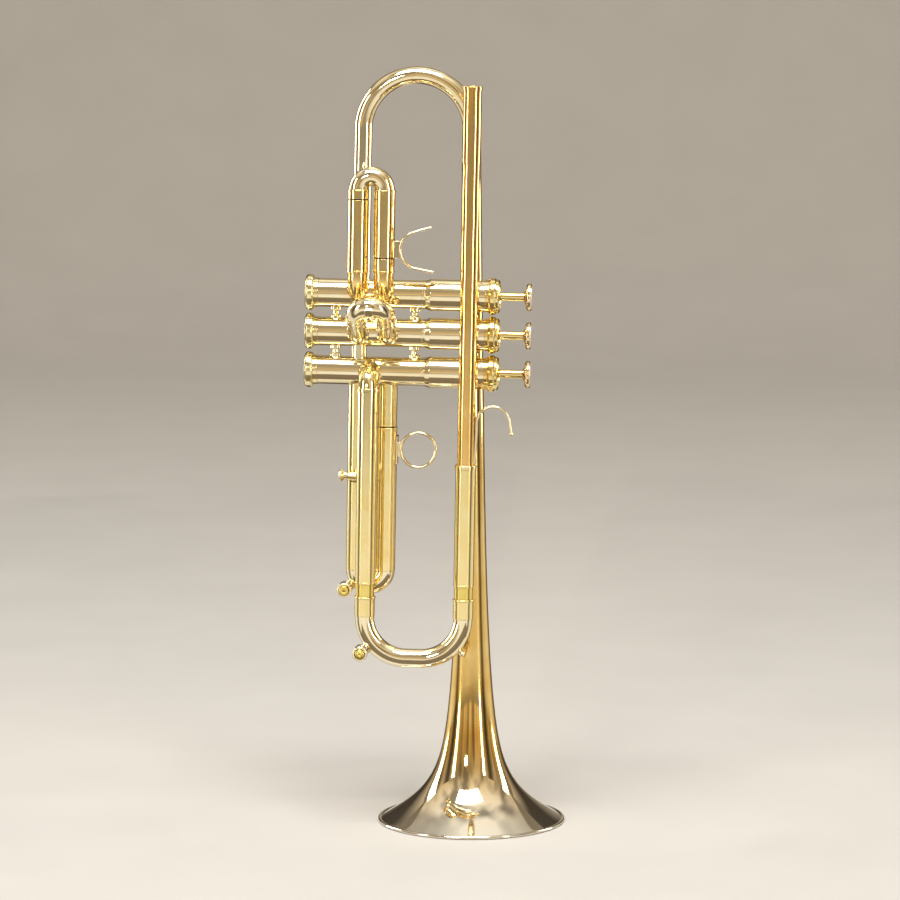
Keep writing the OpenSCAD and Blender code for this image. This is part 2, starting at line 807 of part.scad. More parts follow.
module second_slide_tubes() {
    color(silver) second_frame() for (x = [leg_a_x, leg_b_x]) {
        difference() {
            union() {
                ring_z(x, 0, second_inner, second_fixed + sleeve_gap, leg_r);
                ring_z(x, 0, second_fixed + sleeve_gap, second_ferrule, sleeve_r);
            }
            ring_z(x, 0, second_inner - 1, second_ferrule + 1, leg_bore_r);
        }
    }
}

module second_run(r) {
    for (x = [leg_a_x, leg_b_x]) ring_z(x, 0, second_ferrule + joint_gap, second_straight, r);
    translate([0, 0, second_straight]) u_bend(leg_a_x, leg_b_x, r, 1);
}

module second_slide_crook() {
    color(silver) second_frame() difference() {
        second_run(crook_tube_r);
        second_run(crook_tube_r - crook_wall);
    }
}

// a small square nib on the front of the bend, for the fingertips
module second_slide_nib() {
    mid_x = (leg_a_x + leg_b_x) / 2;
    apex_z = second_straight + (leg_b_x - leg_a_x) / 2;
    color(silver) second_frame() difference() {
        translate([mid_x, 0, apex_z]) rotate([nib_a, 0, 0])
            translate([-nib_w / 2, -nib_h / 2, crook_tube_r - 1]) cube([nib_w, nib_h, nib_out + 1]);
        translate([0, 0, second_straight]) u_bend(leg_a_x, leg_b_x, crook_tube_r + joint_gap, 1);
    }
}

// ---- third slide ----

module third_slide_ports() {
    color(silver) block() difference() {
        union() {
            ring_z(leg_a_x, valve_y, third_split_z, valve_3_z, sleeve_r);
            ring_z(leg_a_x, valve_y, third_split_z, third_split_z + ring_h, sleeve_r + ring_lip);
            ring_z(leg_b_x, valve_y, third_inner_low_z, third_ring_z + sleeve_gap, leg_r);
            ring_z(leg_b_x, valve_y, third_ring_z + sleeve_gap, valve_3_z, third_collar_r);
            screw_lug();
        }
        ring_z(leg_a_x, valve_y, third_split_z - 1, third_port_z, sleeve_bore_r);
        ring_z(leg_a_x, valve_y, third_port_z - 1, valve_3_z, port_bore);
        ring_z(leg_b_x, valve_y, third_inner_low_z - 1, valve_3_z, port_bore);
        translate([0, screw_y, screw_z]) rod_x(lug_x0 - 1, lug_x1 - screw_tip, screw_r + run_gap);
        casing_cut(3);
    }
}

// a short round lug across the front of the fixed sleeve, on a web
module screw_lug() {
    translate([0, screw_y, screw_z]) lathe_x([
        [lug_x0, 0], [lug_x0, lug_r - 0.5], [lug_x1, lug_r], [lug_x1, 0]
    ]);
    translate([lug_x0 + 0.6, screw_y, screw_z - lug_web / 2])
        cube([lug_x1 - lug_x0 - 1.2, valve_y - sleeve_r - screw_y + 1.6, lug_web]);
}

// the screw that stops the slide: a waisted thumb head on a short shank
module stop_screw() {
    color(silver) block() translate([screw_x0, screw_y, screw_z]) lathe_x([
        [0, 0], [0, screw_head_r - 0.5], [0.4, screw_head_r], [1.2, screw_head_r], [3.2, screw_neck_r],
        [5.2, screw_neck_r], [5.2, screw_r],
        [lug_x1 - screw_x0 - 2 * screw_tip, screw_r], [lug_x1 - screw_x0 - 2 * screw_tip, 0]
    ]);
}

module third_slide_tubes() {
    color(silver) block() {
        difference() {
            union() {
                ring_z(leg_a_x, valve_y, third_split_z - sleeve_gap, third_leg_top_z, leg_r);
                ring_z(leg_a_x, valve_y, third_crook_z, third_split_z - sleeve_gap, sleeve_r);
            }
            ring_z(leg_a_x, valve_y, third_crook_z - 1, third_leg_top_z + 1, leg_bore_r);
        }
        difference() {
            union() {
                ring_z(leg_b_x, valve_y, third_crook_z, third_ring_z, sleeve_r);
                ring_z(leg_b_x, valve_y, third_ring_z - ring_h, third_ring_z, sleeve_r + ring_lip);
            }
            ring_z(leg_b_x, valve_y, third_crook_z - 1, third_ring_z + 1, sleeve_bore_r);
        }
    }
}

module third_slide_crook() {
    color(silver) block() translate([0, valve_y, third_crook_z - joint_gap]) difference() {
        u_bend(leg_a_x, leg_b_x, crook_tube_r, -1);
        u_bend(leg_a_x, leg_b_x, crook_tube_r - crook_wall, -1);
    }
}

module ring_disc(r, h) {
    translate([ring_x, valve_y, ring_z]) rotate([90, 0, 0]) cylinder(r = r, h = h, center = true);
}

module finger_ring() {
    sleeve_side = leg_b_x + sleeve_r + joint_gap;
    color(silver) block() difference() {
        union() {
            ring_disc(ring_r, ring_w);
            translate([sleeve_side - 1.5, valve_y - 2, ring_z - 5])
                cube([ring_x - ring_r - sleeve_side + 2.5, 4, 10]);
            translate([sleeve_side - 2.5, valve_y - 2.6, ring_z - 9]) cube([3.6, 5.2, 18]);
        }
        ring_disc(ring_r - ring_t, 20);
        ring_z(leg_b_x, valve_y, ring_z - 12, ring_z + 12, sleeve_side - leg_b_x);
    }
}

// ---- main tuning slide ----

module tuning_slide_legs() {
    color(brass) block() for (x = [pipe_x, lower_x]) {
        ring_z(x, pipe_y, ferrule_top_z + joint_gap, tuning_leg_top_z, leg_r, leg_bore_r);
    }
}

module tuning_slide_ferrules() {
    color(silver) block() for (x = [pipe_x, lower_x]) {
        difference() {
            union() {
                ring_z(x, pipe_y, crook_top_z, ferrule_top_z, sleeve_r);
                ring_z(x, pipe_y, ferrule_top_z - ring_h, ferrule_top_z, bead_r);
            }
            ring_z(x, pipe_y, crook_top_z - 1, ferrule_top_z + 1, leg_bore_r);
        }
    }
}

module tuning_crook_run(r) {
    z = crook_top_z - joint_gap;
    translate([pipe_x - crook_bend_r, pipe_y, z]) arc_xz(crook_bend_r, r, 270, 90);
    translate([lower_x + crook_bend_r, pipe_y, z]) arc_xz(crook_bend_r, r, 180, 90);
    translate([lower_x + crook_bend_r, pipe_y, z - crook_bend_r])
        rod_x(0, tuning_span - 2 * crook_bend_r, r);
}

module tuning_slide_crook() {
    color(silver) block() difference() {
        tuning_crook_run(crook_r);
        tuning_crook_run(crook_r - 0.6);
    }
}

// a small ball on the crook for the fingers, opposite the water key
module tuning_pull_nib() {
    a = -41;
    color(silver) block() difference() {
        translate([pipe_x - crook_bend_r, pipe_y, crook_top_z]) rotate([0, -a, 0]) union() {
            rod_x(crook_bend_r + crook_r - 1, crook_bend_r + crook_r + 1.6, 1.2);
            translate([crook_bend_r + crook_r + 2.4, 0, 0]) sphere(r = 1.8, $fn = 32);
        }
        tuning_crook_run(crook_r + joint_gap);
    }
}

// ---- water keys: a barrel across the crook, a sprung plunger with a button, a nipple at the back ----

module key_barrel(x, z, toward_x, toward_z) {
    reach = 6.4;
    a = atan2(toward_z, toward_x);
    block() translate([x, 0, z]) difference() {
        union() {
            rotate([90, 0, 0]) cylinder(r = key_r, h = key_len, center = true);
            rotate([0, -a, 0]) rod_x(0, reach, 3.4);
        }
        rotate([90, 0, 0]) translate([0, 0, -key_len / 2 + key_wall]) cylinder(r = key_bore_r, h = key_len);
        rotate([90, 0, 0]) translate([0, 0, -key_len / 2 - 1]) cylinder(r = 1.2, h = key_len);
    }
}

module key_plunger(x, z) {
    block() translate([x, 0, z]) rotate([90, 0, 0]) difference() {
        union() {
            translate([0, 0, -1.4]) cylinder(r = plunger_r, h = 6.5);
            translate([0, 0, 5]) cylinder(r = plunger_r - 0.3, h = key_tip - 5);
        }
        translate([0, 0, key_tip - 2]) cylinder(r = 0.9, h = 3);
        rotate_extrude() translate([plunger_r + 0.2, 1.2]) circle(r = 0.8, $fn = 24);
    }
}

module key_coil(x, z) {
    block() translate([x, 0, z]) rotate([0, 0, 90])
        coil(2.2, 0.25, 1.6, key_len / 2 - key_wall - 0.3, key_turns);
}

module tuning_key_barrel() {
    color(silver) difference() {
        translate([0, pipe_y, 0]) key_barrel(tuning_key_x, tuning_key_z, 29.3, 24.35);
        block() tuning_crook_run(crook_r + joint_gap);
    }
}

module tuning_key_plunger() {
    color(brass) translate([0, pipe_y, 0]) key_plunger(tuning_key_x, tuning_key_z);
}

module tuning_key_spring() {
    color(steel) translate([0, pipe_y, 0]) key_coil(tuning_key_x, tuning_key_z);
}

module third_key_barrel() {
    color(silver) difference() {
        translate([0, valve_y, 0]) key_barrel(third_key_x, third_key_z, 16.5, 13.3);
        block() translate([0, valve_y, third_crook_z - joint_gap]) {
            u_bend(leg_a_x, leg_b_x, crook_tube_r + joint_gap, -1);
        }
    }
}

module third_key_plunger() {
    color(brass) translate([0, valve_y, 0]) key_plunger(third_key_x, third_key_z);
}

module third_key_spring() {
    color(steel) translate([0, valve_y, 0]) key_coil(third_key_x, third_key_z);
}

bell_flare();
bell_stem();
bell_rim_wire();
bell_bow();
bell_braces();
mouthpiece_receiver();
leadpipe();
tuning_sleeve_upper();
tuning_sleeve_lower();
pinky_hook();
valve_casing_1();
valve_casing_2();
valve_casing_3();
casing_braces();
passage_tubes();
top_caps();
bottom_caps();
cap_felts();
valve_guides();
piston_1();
piston_2();
piston_3();
valve_stem_1();
valve_stem_2();
valve_stem_3();
valve_cork_1();
valve_cork_2();
valve_cork_3();
finger_button_1();
finger_button_2();
finger_button_3();
button_pearl_1();
button_pearl_2();
button_pearl_3();
valve_spring_1();
valve_spring_2();
valve_spring_3();
first_slide_ports();
first_slide_tubes();
first_slide_crook();
thumb_saddle();
second_slide_ports();
second_slide_tubes();
second_slide_crook();
second_slide_nib();
third_slide_ports();
third_slide_tubes();
third_slide_crook();
finger_ring();
stop_screw();
tuning_slide_legs();
tuning_slide_ferrules();
tuning_slide_crook();
tuning_pull_nib();
tuning_key_barrel();
tuning_key_plunger();
tuning_key_spring();
third_key_barrel();
third_key_plunger();
third_key_spring();
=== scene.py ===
import math

import bpy
import numpy as np
from mathutils import Matrix, Vector


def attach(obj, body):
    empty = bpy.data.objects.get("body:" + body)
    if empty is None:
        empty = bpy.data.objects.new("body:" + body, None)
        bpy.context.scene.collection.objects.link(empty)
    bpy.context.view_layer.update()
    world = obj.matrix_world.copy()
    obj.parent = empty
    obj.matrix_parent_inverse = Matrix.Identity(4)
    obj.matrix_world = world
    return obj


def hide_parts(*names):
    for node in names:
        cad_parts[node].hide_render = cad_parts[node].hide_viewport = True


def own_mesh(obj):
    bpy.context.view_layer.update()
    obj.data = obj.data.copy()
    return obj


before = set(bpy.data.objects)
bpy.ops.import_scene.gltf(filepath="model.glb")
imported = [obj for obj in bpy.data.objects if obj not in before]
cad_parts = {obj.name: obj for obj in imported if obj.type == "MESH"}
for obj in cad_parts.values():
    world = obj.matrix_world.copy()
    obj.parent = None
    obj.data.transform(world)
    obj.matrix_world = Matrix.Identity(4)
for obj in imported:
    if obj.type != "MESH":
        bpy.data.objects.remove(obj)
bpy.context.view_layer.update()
scene = bpy.context.scene

# ---------------- camera

HEADING = math.radians(4.0)
TILT = math.radians(7.46)
EYE_BACK, EYE_SIDE, EYE_UP = 2.6, -0.014, 0.586

right = Vector((math.cos(HEADING), math.sin(HEADING), 0))
ahead = Vector((-math.sin(HEADING), math.cos(HEADING), 0))
cam_data = bpy.data.cameras.new("camera")
cam_data.lens = 160.96
cam_data.sensor_width = 36
cam = bpy.data.objects.new("camera", cam_data)
cam.location = right * EYE_SIDE - ahead * EYE_BACK + Vector((0, 0, EYE_UP))
look = ahead * math.cos(TILT) - Vector((0, 0, math.sin(TILT)))
cam.rotation_euler = look.to_track_quat("-Z", "Y").to_euler()
scene.collection.objects.link(cam)
scene.camera = cam

# ---------------- the frame's dimensions, in mm

LEAN = math.radians(1.03)
VALVE_Y, PIPE_Y, FIRST_Y = -20.0, -38.0, -30.0
VALVE_Z = [348.15, 323.15, 298.15]
VALVE_PITCH = 25.0
CASING_R, CASING_TOP_R = 9.3, 10.45
LEG_A, LEG_B = -77.0, -58.0
LEG_MID, LEG_TURN_R = -67.5, 9.5
FIRST_A, FIRST_B = -77.9, -61.1
PIPE_X, LOWER_X, PIPE_R = -5.55, -69.35, 5.65
SLEEVE_R, SLEEVE_BORE_R, BEAD_R = 6.5, 6.1, 6.95
FIRST_SLEEVE_R, FIRST_BEAD_R = 6.8, 7.1
LEG_R, LEG_BORE_R = 6.05, 5.5
CROOK_R = 6.3
CROOK_END = [(2, 0), (2, 5.6), (0, 5.6), (0, CROOK_R)]
SECOND_OUT, SECOND_BEND, SECOND_TILT = 6.5, 13.0, math.radians(38)
SCREW_Y, SCREW_Z = -29.2, 230.5
KEYS = {"tuning_key": ("tuning_slide", (-71.6, PIPE_Y, 116.3)),
        "third_key": ("third_slide", (-84.0, VALVE_Y, 154.7))}
BELL_H, BELL_WALL = 453.8, 0.6
RIM_R, RIM_BEAD_R, RIM_TOP = 60.35, 1.15, 1.45

X, Y, Z = np.eye(3)


def unit(v):
    v = np.asarray(v, float)
    return v / np.linalg.norm(v)


def across(axis):
    """Two directions square to a unit axis and to each other."""
    u = unit(np.cross(axis, Y if abs(axis[1]) < 0.9 else X))
    return u, np.cross(axis, u)


def circle(u, w, seg):
    """Unit directions evenly round the plane of u and w."""
    t = np.linspace(0, 2 * math.pi, seg, endpoint=False)
    return np.cos(t)[:, None] * u + np.sin(t)[:, None] * w


def spin(p, ring, axis, at=0):
    """Rows of points where a profile of (along, radius) goes round an axis."""
    return at + p[:, 0][:, None, None] * axis + p[:, 1][:, None, None] * ring


# ---------------- mesh building

class Shell:
    """Closed surfaces gathered for one piece: points in mm, faces, and the true normal at each point."""

    def __init__(self):
        self.points, self.normals, self.faces, self.count = [], [], [], 0

    def grid(self, p, n, wrap=False, pole_a=None, pole_b=None):
        """Rows of points that close round their columns, with a pole or a wrap at the two ends."""
        rows, cols = p.shape[:2]
        base = self.count
        self.points.append(p.reshape(-1, 3))
        self.normals.append(n.reshape(-1, 3))
        self.count += rows * cols
        out = np.cross(p[0, 1] - p[0, 0], p[1, 0] - p[0, 0]).dot(n[0, 0] + n[1, 1]) < 0
        mid = rows // 2
        if rows > 2 and np.linalg.norm(p[0, 1] - p[0, 0]) < 1e-6:
            out = np.cross(p[mid, 1] - p[mid, 0], p[mid + 1, 0] - p[mid, 0]).dot(n[mid, 0]) < 0
        i = np.arange(rows if wrap else rows - 1)[:, None]
        j = np.arange(cols)[None, :]
        k, nxt = (i + 1) % rows, (j + 1) % cols
        quad = np.stack([i * cols + j, i * cols + nxt, k * cols + nxt, k * cols + j], -1).reshape(-1, 4)
        if out:
            quad = quad[:, ::-1]
        self.faces.extend((quad + base).tolist())
        for pole, row, turn in ((pole_a, 0, out), (pole_b, rows - 1, not out)):
            if pole is None:
                continue
            self.points.append(np.asarray(pole[0], float)[None])
            self.normals.append(np.asarray(pole[1], float)[None])
            ring = base + row * cols + np.arange(cols)
            tip = self.count
            self.count += 1
            for a, b in zip(ring, np.roll(ring, -1)):
                self.faces.append([int(b), int(a), tip] if not turn else [int(a), int(b), tip])

    def build(self, name, turn):
        m = np.array(turn)[:3, :3]
        p = np.concatenate(self.points) @ m.T * 0.001
        n = np.concatenate(self.normals) @ m.T
        n /= np.linalg.norm(n, axis=1)[:, None]
        mesh = bpy.data.meshes.new(name)
        mesh.from_pydata(p.tolist(), [], self.faces)
        mesh.polygons.foreach_set("use_smooth", [True] * len(self.faces))
        mesh.normals_split_custom_set_from_vertices(n.tolist())
        mesh.update()
        return mesh


def outline(points, rho=0.15, closed=False):
    """A profile of (along, radius[, corner radius]) points with rounded corners, and its outward normals.
    It runs with the material on its right-hand side when along is drawn rightwards and radius upwards."""
    pts = [np.array(p[:2], float) for p in points]
    rad = [p[2] if len(p) > 2 else rho for p in points]
    n = len(pts)
    out, nrm = [], []

    def side(a, b):
        d = (b - a) / np.linalg.norm(b - a)
        return np.array([-d[1], d[0]])

    for i in range(n):
        if not closed and i in (0, n - 1):
            out.append(pts[i])
            nrm.append(side(pts[i], pts[i + 1]) if i == 0 else side(pts[i - 1], pts[i]))
            continue
        a, b, c = pts[i - 1], pts[i], pts[(i + 1) % n]
        na, nc = side(a, b), side(b, c)
        turn = math.atan2(na[0] * nc[1] - na[1] * nc[0], float(na.dot(nc)))
        if abs(turn) < math.radians(9) or rad[i] <= 0:
            out.append(b)
            nrm.append((na + nc) / np.linalg.norm(na + nc))
            continue
        la, lc = np.linalg.norm(b - a), np.linalg.norm(c - b)
        cut = min(rad[i] * math.tan(abs(turn) / 2), 0.45 * la, 0.45 * lc)
        r = cut / math.tan(abs(turn) / 2)
        start = b - (b - a) / la * cut
        sign = 1 if turn < 0 else -1
        centre = start - na * r * sign
        steps = max(2, math.ceil(abs(turn) / math.radians(15)))
        for k in range(steps + 1):
            t = turn * k / steps
            ct, st = math.cos(t), math.sin(t)
            v = np.array([na[0] * ct - na[1] * st, na[0] * st + na[1] * ct])
            out.append(centre + v * r * sign)
            nrm.append(v)
    return np.array(out), np.array(nrm)


def lathe(shell, points, at, axis, seg=72, rho=0.15, closed=False):
    """A turned solid: the outline goes round the axis. An open outline starts and ends on the axis."""
    p, n = outline(points, rho, closed)
    axis = unit(axis)
    ring = circle(*across(axis), seg)
    at = np.asarray(at, float)
    body = slice(0, len(p)) if closed else slice(1, -1)
    q, m = spin(p[body], ring, axis, at), spin(n[body], ring, axis)
    if closed:
        shell.grid(q, m, wrap=True)
    else:
        shell.grid(q, m, pole_a=(at + axis * p[0, 0], -axis), pole_b=(at + axis * p[-1, 0], axis))


def pipe(shell, at, axis, a, b, r, bore, seg=72, rho=0.15, beads=()):
    """A straight tube with a bore and rounded lips. A bead is (from, to, radius)."""
    pts = [(a, bore), (a, r)]
    for z0, z1, rb in sorted(beads):
        if z0 <= a + 1e-6:
            pts[-1] = (a, rb, 0.3)
        else:
            pts += [(z0, r, 0.1), (z0, rb, 0.3)]
        if z1 >= b - 1e-6:
            pts += [(b, rb, 0.3)]
        else:
            pts += [(z1, rb, 0.3), (z1, r, 0.1)]
    if not beads or max(x[1] for x in beads) < b - 1e-6:
        pts += [(b, r)]
    pts += [(b, bore)]
    lathe(shell, pts, at, axis, seg, rho, closed=True)


def line(a, b, step=6.0):
    a, b = np.asarray(a, float), np.asarray(b, float)
    n = max(2, int(np.linalg.norm(b - a) / step) + 1)
    return [a + (b - a) * k / (n - 1) for k in range(n)]


def arc(centre, e1, e2, r, a0, a1, step=3.0):
    """Points of an arc in the plane of e1 and e2, from a0 to a1 degrees."""
    n = max(4, int(abs(a1 - a0) / step) + 1)
    turns = np.radians([a0 + (a1 - a0) * k / (n - 1) for k in range(n)])
    return [np.asarray(centre, float) + r * (math.cos(t) * e1 + math.sin(t) * e2) for t in turns]


def join(*runs):
    out = []
    for run in runs:
        for p in run:
            if not out or np.linalg.norm(p - out[-1]) > 1e-4:
                out.append(p)
    return np.array(out)


def frames(path, flat=None):
    """Tangent and two cross directions at each point, carried along without twist."""
    t = np.gradient(path, axis=0)
    s = np.concatenate([[0], np.cumsum(np.linalg.norm(np.diff(path, axis=0), axis=1))])
    t = np.gradient(path, s, axis=0)
    t /= np.linalg.norm(t, axis=1)[:, None]
    u = np.zeros_like(t)
    w = np.zeros_like(t)
    first = unit(flat) if flat is not None else unit(np.cross(t[0], X if abs(t[0][0]) < 0.8 else Y))
    for i in range(len(path)):
        first = first - t[i] * first.dot(t[i]) if flat is None else unit(flat)
        u[i] = unit(first - t[i] * first.dot(t[i]))
        w[i] = np.cross(t[i], u[i])
        if flat is None:
            first = u[i]
    return s, t, u, w


def grid_normals(p):
    du = np.roll(p, -1, 1) - np.roll(p, 1, 1)
    dv = np.gradient(p, axis=0)
    n = np.cross(du, dv)
    n /= np.maximum(np.linalg.norm(n, axis=2), 1e-12)[:, :, None]
    out = p - p.mean(axis=1, keepdims=True)
    n *= np.sign((n * out).sum(axis=2).mean())
    return n


def sweep(shell, path, r, seg=56, into=None, fillet=0.9, head=()):
    """A round tube along a path. `head` is an outline at its start, as (path length, radius), beginning on
    the axis: an open mouth, a blind bore, rings. With into=n the far end is fitted to valve casing n and
    has a solder fillet there; otherwise it is closed by a disc."""
    path = np.asarray(path)
    s, t, u, w = frames(path)
    th = np.linspace(0, 2 * math.pi, seg, endpoint=False)
    ct, st = np.cos(th), np.sin(th)

    def at(q, table):
        return np.stack([np.interp(q, s, table[:, k]) for k in range(3)], -1)

    def around(q):
        return ct[None, :, None] * at(q, u) + st[None, :, None] * at(q, w)

    def place(q, rr):
        """Points at path length q (rows, cols) and radius rr."""
        return at(q, path) + np.broadcast_to(rr, q.shape)[..., None] * around(q)

    rows_p, rows_n, begin = [], [], 0.0
    pole_a = (path[0], -t[0])
    if len(head):
        last = head[-1]
        p, n = outline([*head, (last[0] + 1.0, last[1])])
        p, n = p[1:-1], n[1:-1]
        q = np.repeat(p[:, :1], seg, 1)
        rows_p.append(place(q, p[:, 1:]))
        rows_n.append(n[:, 0][:, None, None] * at(q, t) + n[:, 1][:, None, None] * around(q))
        tip = head[0][0]
        pole_a = (at(np.array([tip]), path)[0], -at(np.array([tip]), t)[0])
        begin = float(p[-1, 0])
    if into is None:
        body = s[s > begin + 1e-6] if len(head) else s
        q = np.repeat(body[:, None], seg, 1)
        rows_p.append(place(q, r))
        rows_n.append(around(q))
        rows_p.append(place(q[-1:], r * 0.98))
        rows_n.append(np.broadcast_to(t[-1], (1, seg, 3)))
        shell.grid(np.concatenate(rows_p), np.concatenate(rows_n), pole_a=pole_a, pole_b=(path[-1], t[-1]))
        return
    zc = VALVE_Z[into - 1]

    def gap(p):
        return np.hypot(p[..., 1] - VALVE_Y, p[..., 2] - zc)

    def reach(k, to):
        """The path length at which each column first comes within `to` of the casing's axis."""
        fine = np.linspace(0, s[-1], 1500)
        q = np.repeat(fine[:, None], seg, 1)
        inside = gap(place(q, r * k)) < to
        first = np.argmax(inside, axis=0)
        first[~inside.any(axis=0)] = len(fine) - 1
        return fine[first]

    wall = CASING_R - 0.15
    end = reach(1.0, wall)
    near = max(end.min() - 3.0 * fillet, begin + 0.2)
    body = np.concatenate([s[(s < near - 0.4) & (s > begin + 0.05)], [near]])
    q = np.repeat(body[:, None], seg, 1)
    rows_p.append(place(q, r))
    rows_n.append(around(q))
    k = np.linspace(0, 1, 11)[1:, None]
    q = near + (end[None] - near) * k
    p = place(q, r)
    d = np.clip(1 - (gap(p) - CASING_R) / fillet, 0, 1)
    p = place(q, r + fillet * 0.9 * d ** 2)
    rows_p.append(p)
    rows_n.append(grid_normals(np.concatenate([rows_p[-2][-1:], p]))[1:])
    for f in (0.7, 0.35):
        e = reach(f, wall)[None]
        rows_p.append(place(e, r * f))
        rows_n.append(np.broadcast_to(t[-1], (1, seg, 3)))
    e = reach(0.0, wall)[None]
    tip = place(e, 0)[0, 0]
    shell.grid(np.concatenate(rows_p), np.concatenate(rows_n), pole_a=pole_a, pole_b=(tip, t[-1]))


def coil(shell, at, axis, side, r, wire, a, b, turns, seg=14):
    """A wound spring with closed end turns, from a to b along its axis. `side` is square to the axis."""
    k = np.linspace(0, turns, turns * 36 + 1)
    h = np.interp(k, [0, 1, turns - 1, turns], [a, a + 2.15 * wire, b - 2.15 * wire, b])
    radial = np.outer(np.cos(2 * math.pi * k), side) + np.outer(np.sin(2 * math.pi * k), np.cross(axis, side))
    centre = np.asarray(at) + np.outer(h, axis) + r * radial
    b = np.linspace(0, 2 * math.pi, seg, endpoint=False)
    n = np.cos(b)[None, :, None] * radial[:, None] + np.sin(b)[None, :, None] * np.asarray(axis)
    ends = unit(centre[0] - centre[1]), unit(centre[-1] - centre[-2])
    shell.grid(centre[:, None] + wire * n, n, pole_a=(centre[0], ends[0]), pole_b=(centre[-1], ends[1]))


def oblong(width, thick, corner):
    """A rounded oblong section and its normals."""
    c = min(corner, thick / 2 * 0.98, width / 2 * 0.98)
    sec, nrm = [], []
    for qx, qy, a0 in ((1, 1, 0), (-1, 1, 90), (-1, -1, 180), (1, -1, 270)):
        for i in range(7):
            a = math.radians(a0 + 15 * i)
            sec.append((qx * (width / 2 - c) + c * math.cos(a), qy * (thick / 2 - c) + c * math.sin(a)))
            nrm.append((math.cos(a), math.sin(a)))
    return np.array(sec), np.array(nrm)


def strip(shell, path, flat, width, thick, corner=0.6, taper=None):
    """A bar of rounded oblong section bent along a path. `flat` is the direction of its width, and taper
    gives the width and thickness factors at a fraction of its length."""
    path = np.asarray(path)
    s, t, u, w = frames(path, flat)
    sec, nrm = oblong(width, thick, corner)
    scale = np.ones((len(path), 2)) if taper is None else np.array([taper(q / s[-1]) for q in s])
    lip = min(0.35, thick * 0.3)
    rows_p, rows_n = [], []

    def row(i, a, sign):
        a = math.radians(a)
        size = sec * scale[i]
        size = size - np.sign(size) * np.minimum(lip * (1 - math.cos(a)), np.abs(size))
        rows_p.append(path[i] + sign * t[i] * lip * math.sin(a) + size[:, :1] * u[i] + size[:, 1:] * w[i])
        rows_n.append(sign * t[i] * math.sin(a) + math.cos(a) * (nrm[:, :1] * u[i] + nrm[:, 1:] * w[i]))

    for a in (90, 60, 30):
        row(0, a, -1)
    for i in range(len(path)):
        row(i, 0, 1)
    for a in (30, 60, 90):
        row(len(path) - 1, a, 1)
    shell.grid(np.array(rows_p), np.array(rows_n),
               pole_a=(path[0] - t[0] * lip, -t[0]), pole_b=(path[-1] + t[-1] * lip, t[-1]))


def slab(shell, shape, e1, e2, at, along, a, b, soft=0.35):
    """A flat shape, listed anticlockwise in the plane of e1 and e2, drawn out from a to b with soft edges."""
    shape = np.asarray(shape, float)
    d = np.roll(shape, -1, 0) - shape
    d /= np.linalg.norm(d, axis=1)[:, None]
    side = np.stack([d[:, 1], -d[:, 0]], -1)
    nrm = side + np.roll(side, 1, 0)
    nrm /= np.linalg.norm(nrm, axis=1)[:, None]
    rows_p, rows_n = [], []
    for base, sign, turns in ((a, -1, (90, 60, 30, 0)), (b, 1, (0, 30, 60, 90))):
        for turn in turns:
            g = math.radians(turn)
            q = shape - nrm * soft * (1 - math.cos(g))
            z = base + sign * soft * (math.sin(g) - 1)
            rows_p.append(at + q[:, :1] * e1 + q[:, 1:] * e2 + z * along)
            flat = nrm[:, :1] * e1 + nrm[:, 1:] * e2
            rows_n.append(sign * along * math.sin(g) + math.cos(g) * flat)
    mid = shape.mean(axis=0)
    mid = at + mid[0] * e1 + mid[1] * e2
    shell.grid(np.array(rows_p), np.array(rows_n),
               pole_a=(mid + a * along, -along), pole_b=(mid + b * along, along))


def post(shell, at, out, axis, length, near, far, rows, seg=48):
    """A turned post from a cylinder at `at`, whose axis is `axis`, towards `out`. Its near end is fitted to
    that cylinder, of radius near, and its far end to one of radius far whose axis is `length` away, or is
    flat where far is None. near and far are (radius, sideways offset). Rows are (distance, radius)."""
    out, axis = unit(out), unit(axis)
    lateral = np.cross(axis, out)
    t = np.linspace(0, 2 * math.pi, seg, endpoint=False)
    ring = np.cos(t)[:, None] * axis + np.sin(t)[:, None] * lateral
    p, n = outline([(rows[0][0] - 1, 0), (rows[0][0] - 1, rows[0][1]), *rows,
                    (rows[-1][0] + 1, rows[-1][1]), (rows[-1][0] + 1, 0)], rho=0.2)
    keep = (p[:, 0] > rows[0][0] - 0.7) & (p[:, 0] < rows[-1][0] + 0.7)
    p, n = p[keep], n[keep]

    def foot(end, r, base, sign):
        if end is None:
            return np.full(seg, base)
        return base + sign * np.sqrt(np.maximum(end[0] ** 2 - (r * np.sin(t) + end[1]) ** 2, 0.01))

    def put(d, r):
        return at + d[:, None] * out + r * ring

    rows_p = [put(foot(near, rows[0][1] * f, 0, 1), rows[0][1] * f) for f in (0.5, 1.0)]
    rows_n = [np.broadcast_to(-out, (seg, 3)), ring]
    for (d, r), (nd, nr) in zip(p, n):
        rows_p.append(put(np.full(seg, d), r))
        rows_n.append(nd * out + nr * ring)
    end = foot(far, rows[-1][1], length, -1)
    rows_p += [put(end, rows[-1][1]), put(foot(far, rows[-1][1] * 0.5, length, -1), rows[-1][1] * 0.5)]
    rows_n += [ring if far else ring + out, np.broadcast_to(out, (seg, 3))]
    a = foot(near, 0, 0, 1)[0]
    b = foot(far, 0, length, -1)[0]
    shell.grid(np.array(rows_p), np.array(rows_n), pole_a=(at + a * out, -out), pole_b=(at + b * out, out))


def strip_loop(shell, centre, e1, e2, r, flat, width, thick, corner, seg=96):
    """A closed ring of rounded oblong section."""
    sec, nrm = oblong(width, thick, corner)
    rows_p, rows_n = [], []
    for out in circle(e1, e2, seg):
        rows_p.append(centre + (r + sec[:, 1:]) * out + sec[:, :1] * flat)
        rows_n.append(nrm[:, 1:] * out + nrm[:, :1] * flat)
    shell.grid(np.array(rows_p), np.array(rows_n), wrap=True)


# ---------------- materials

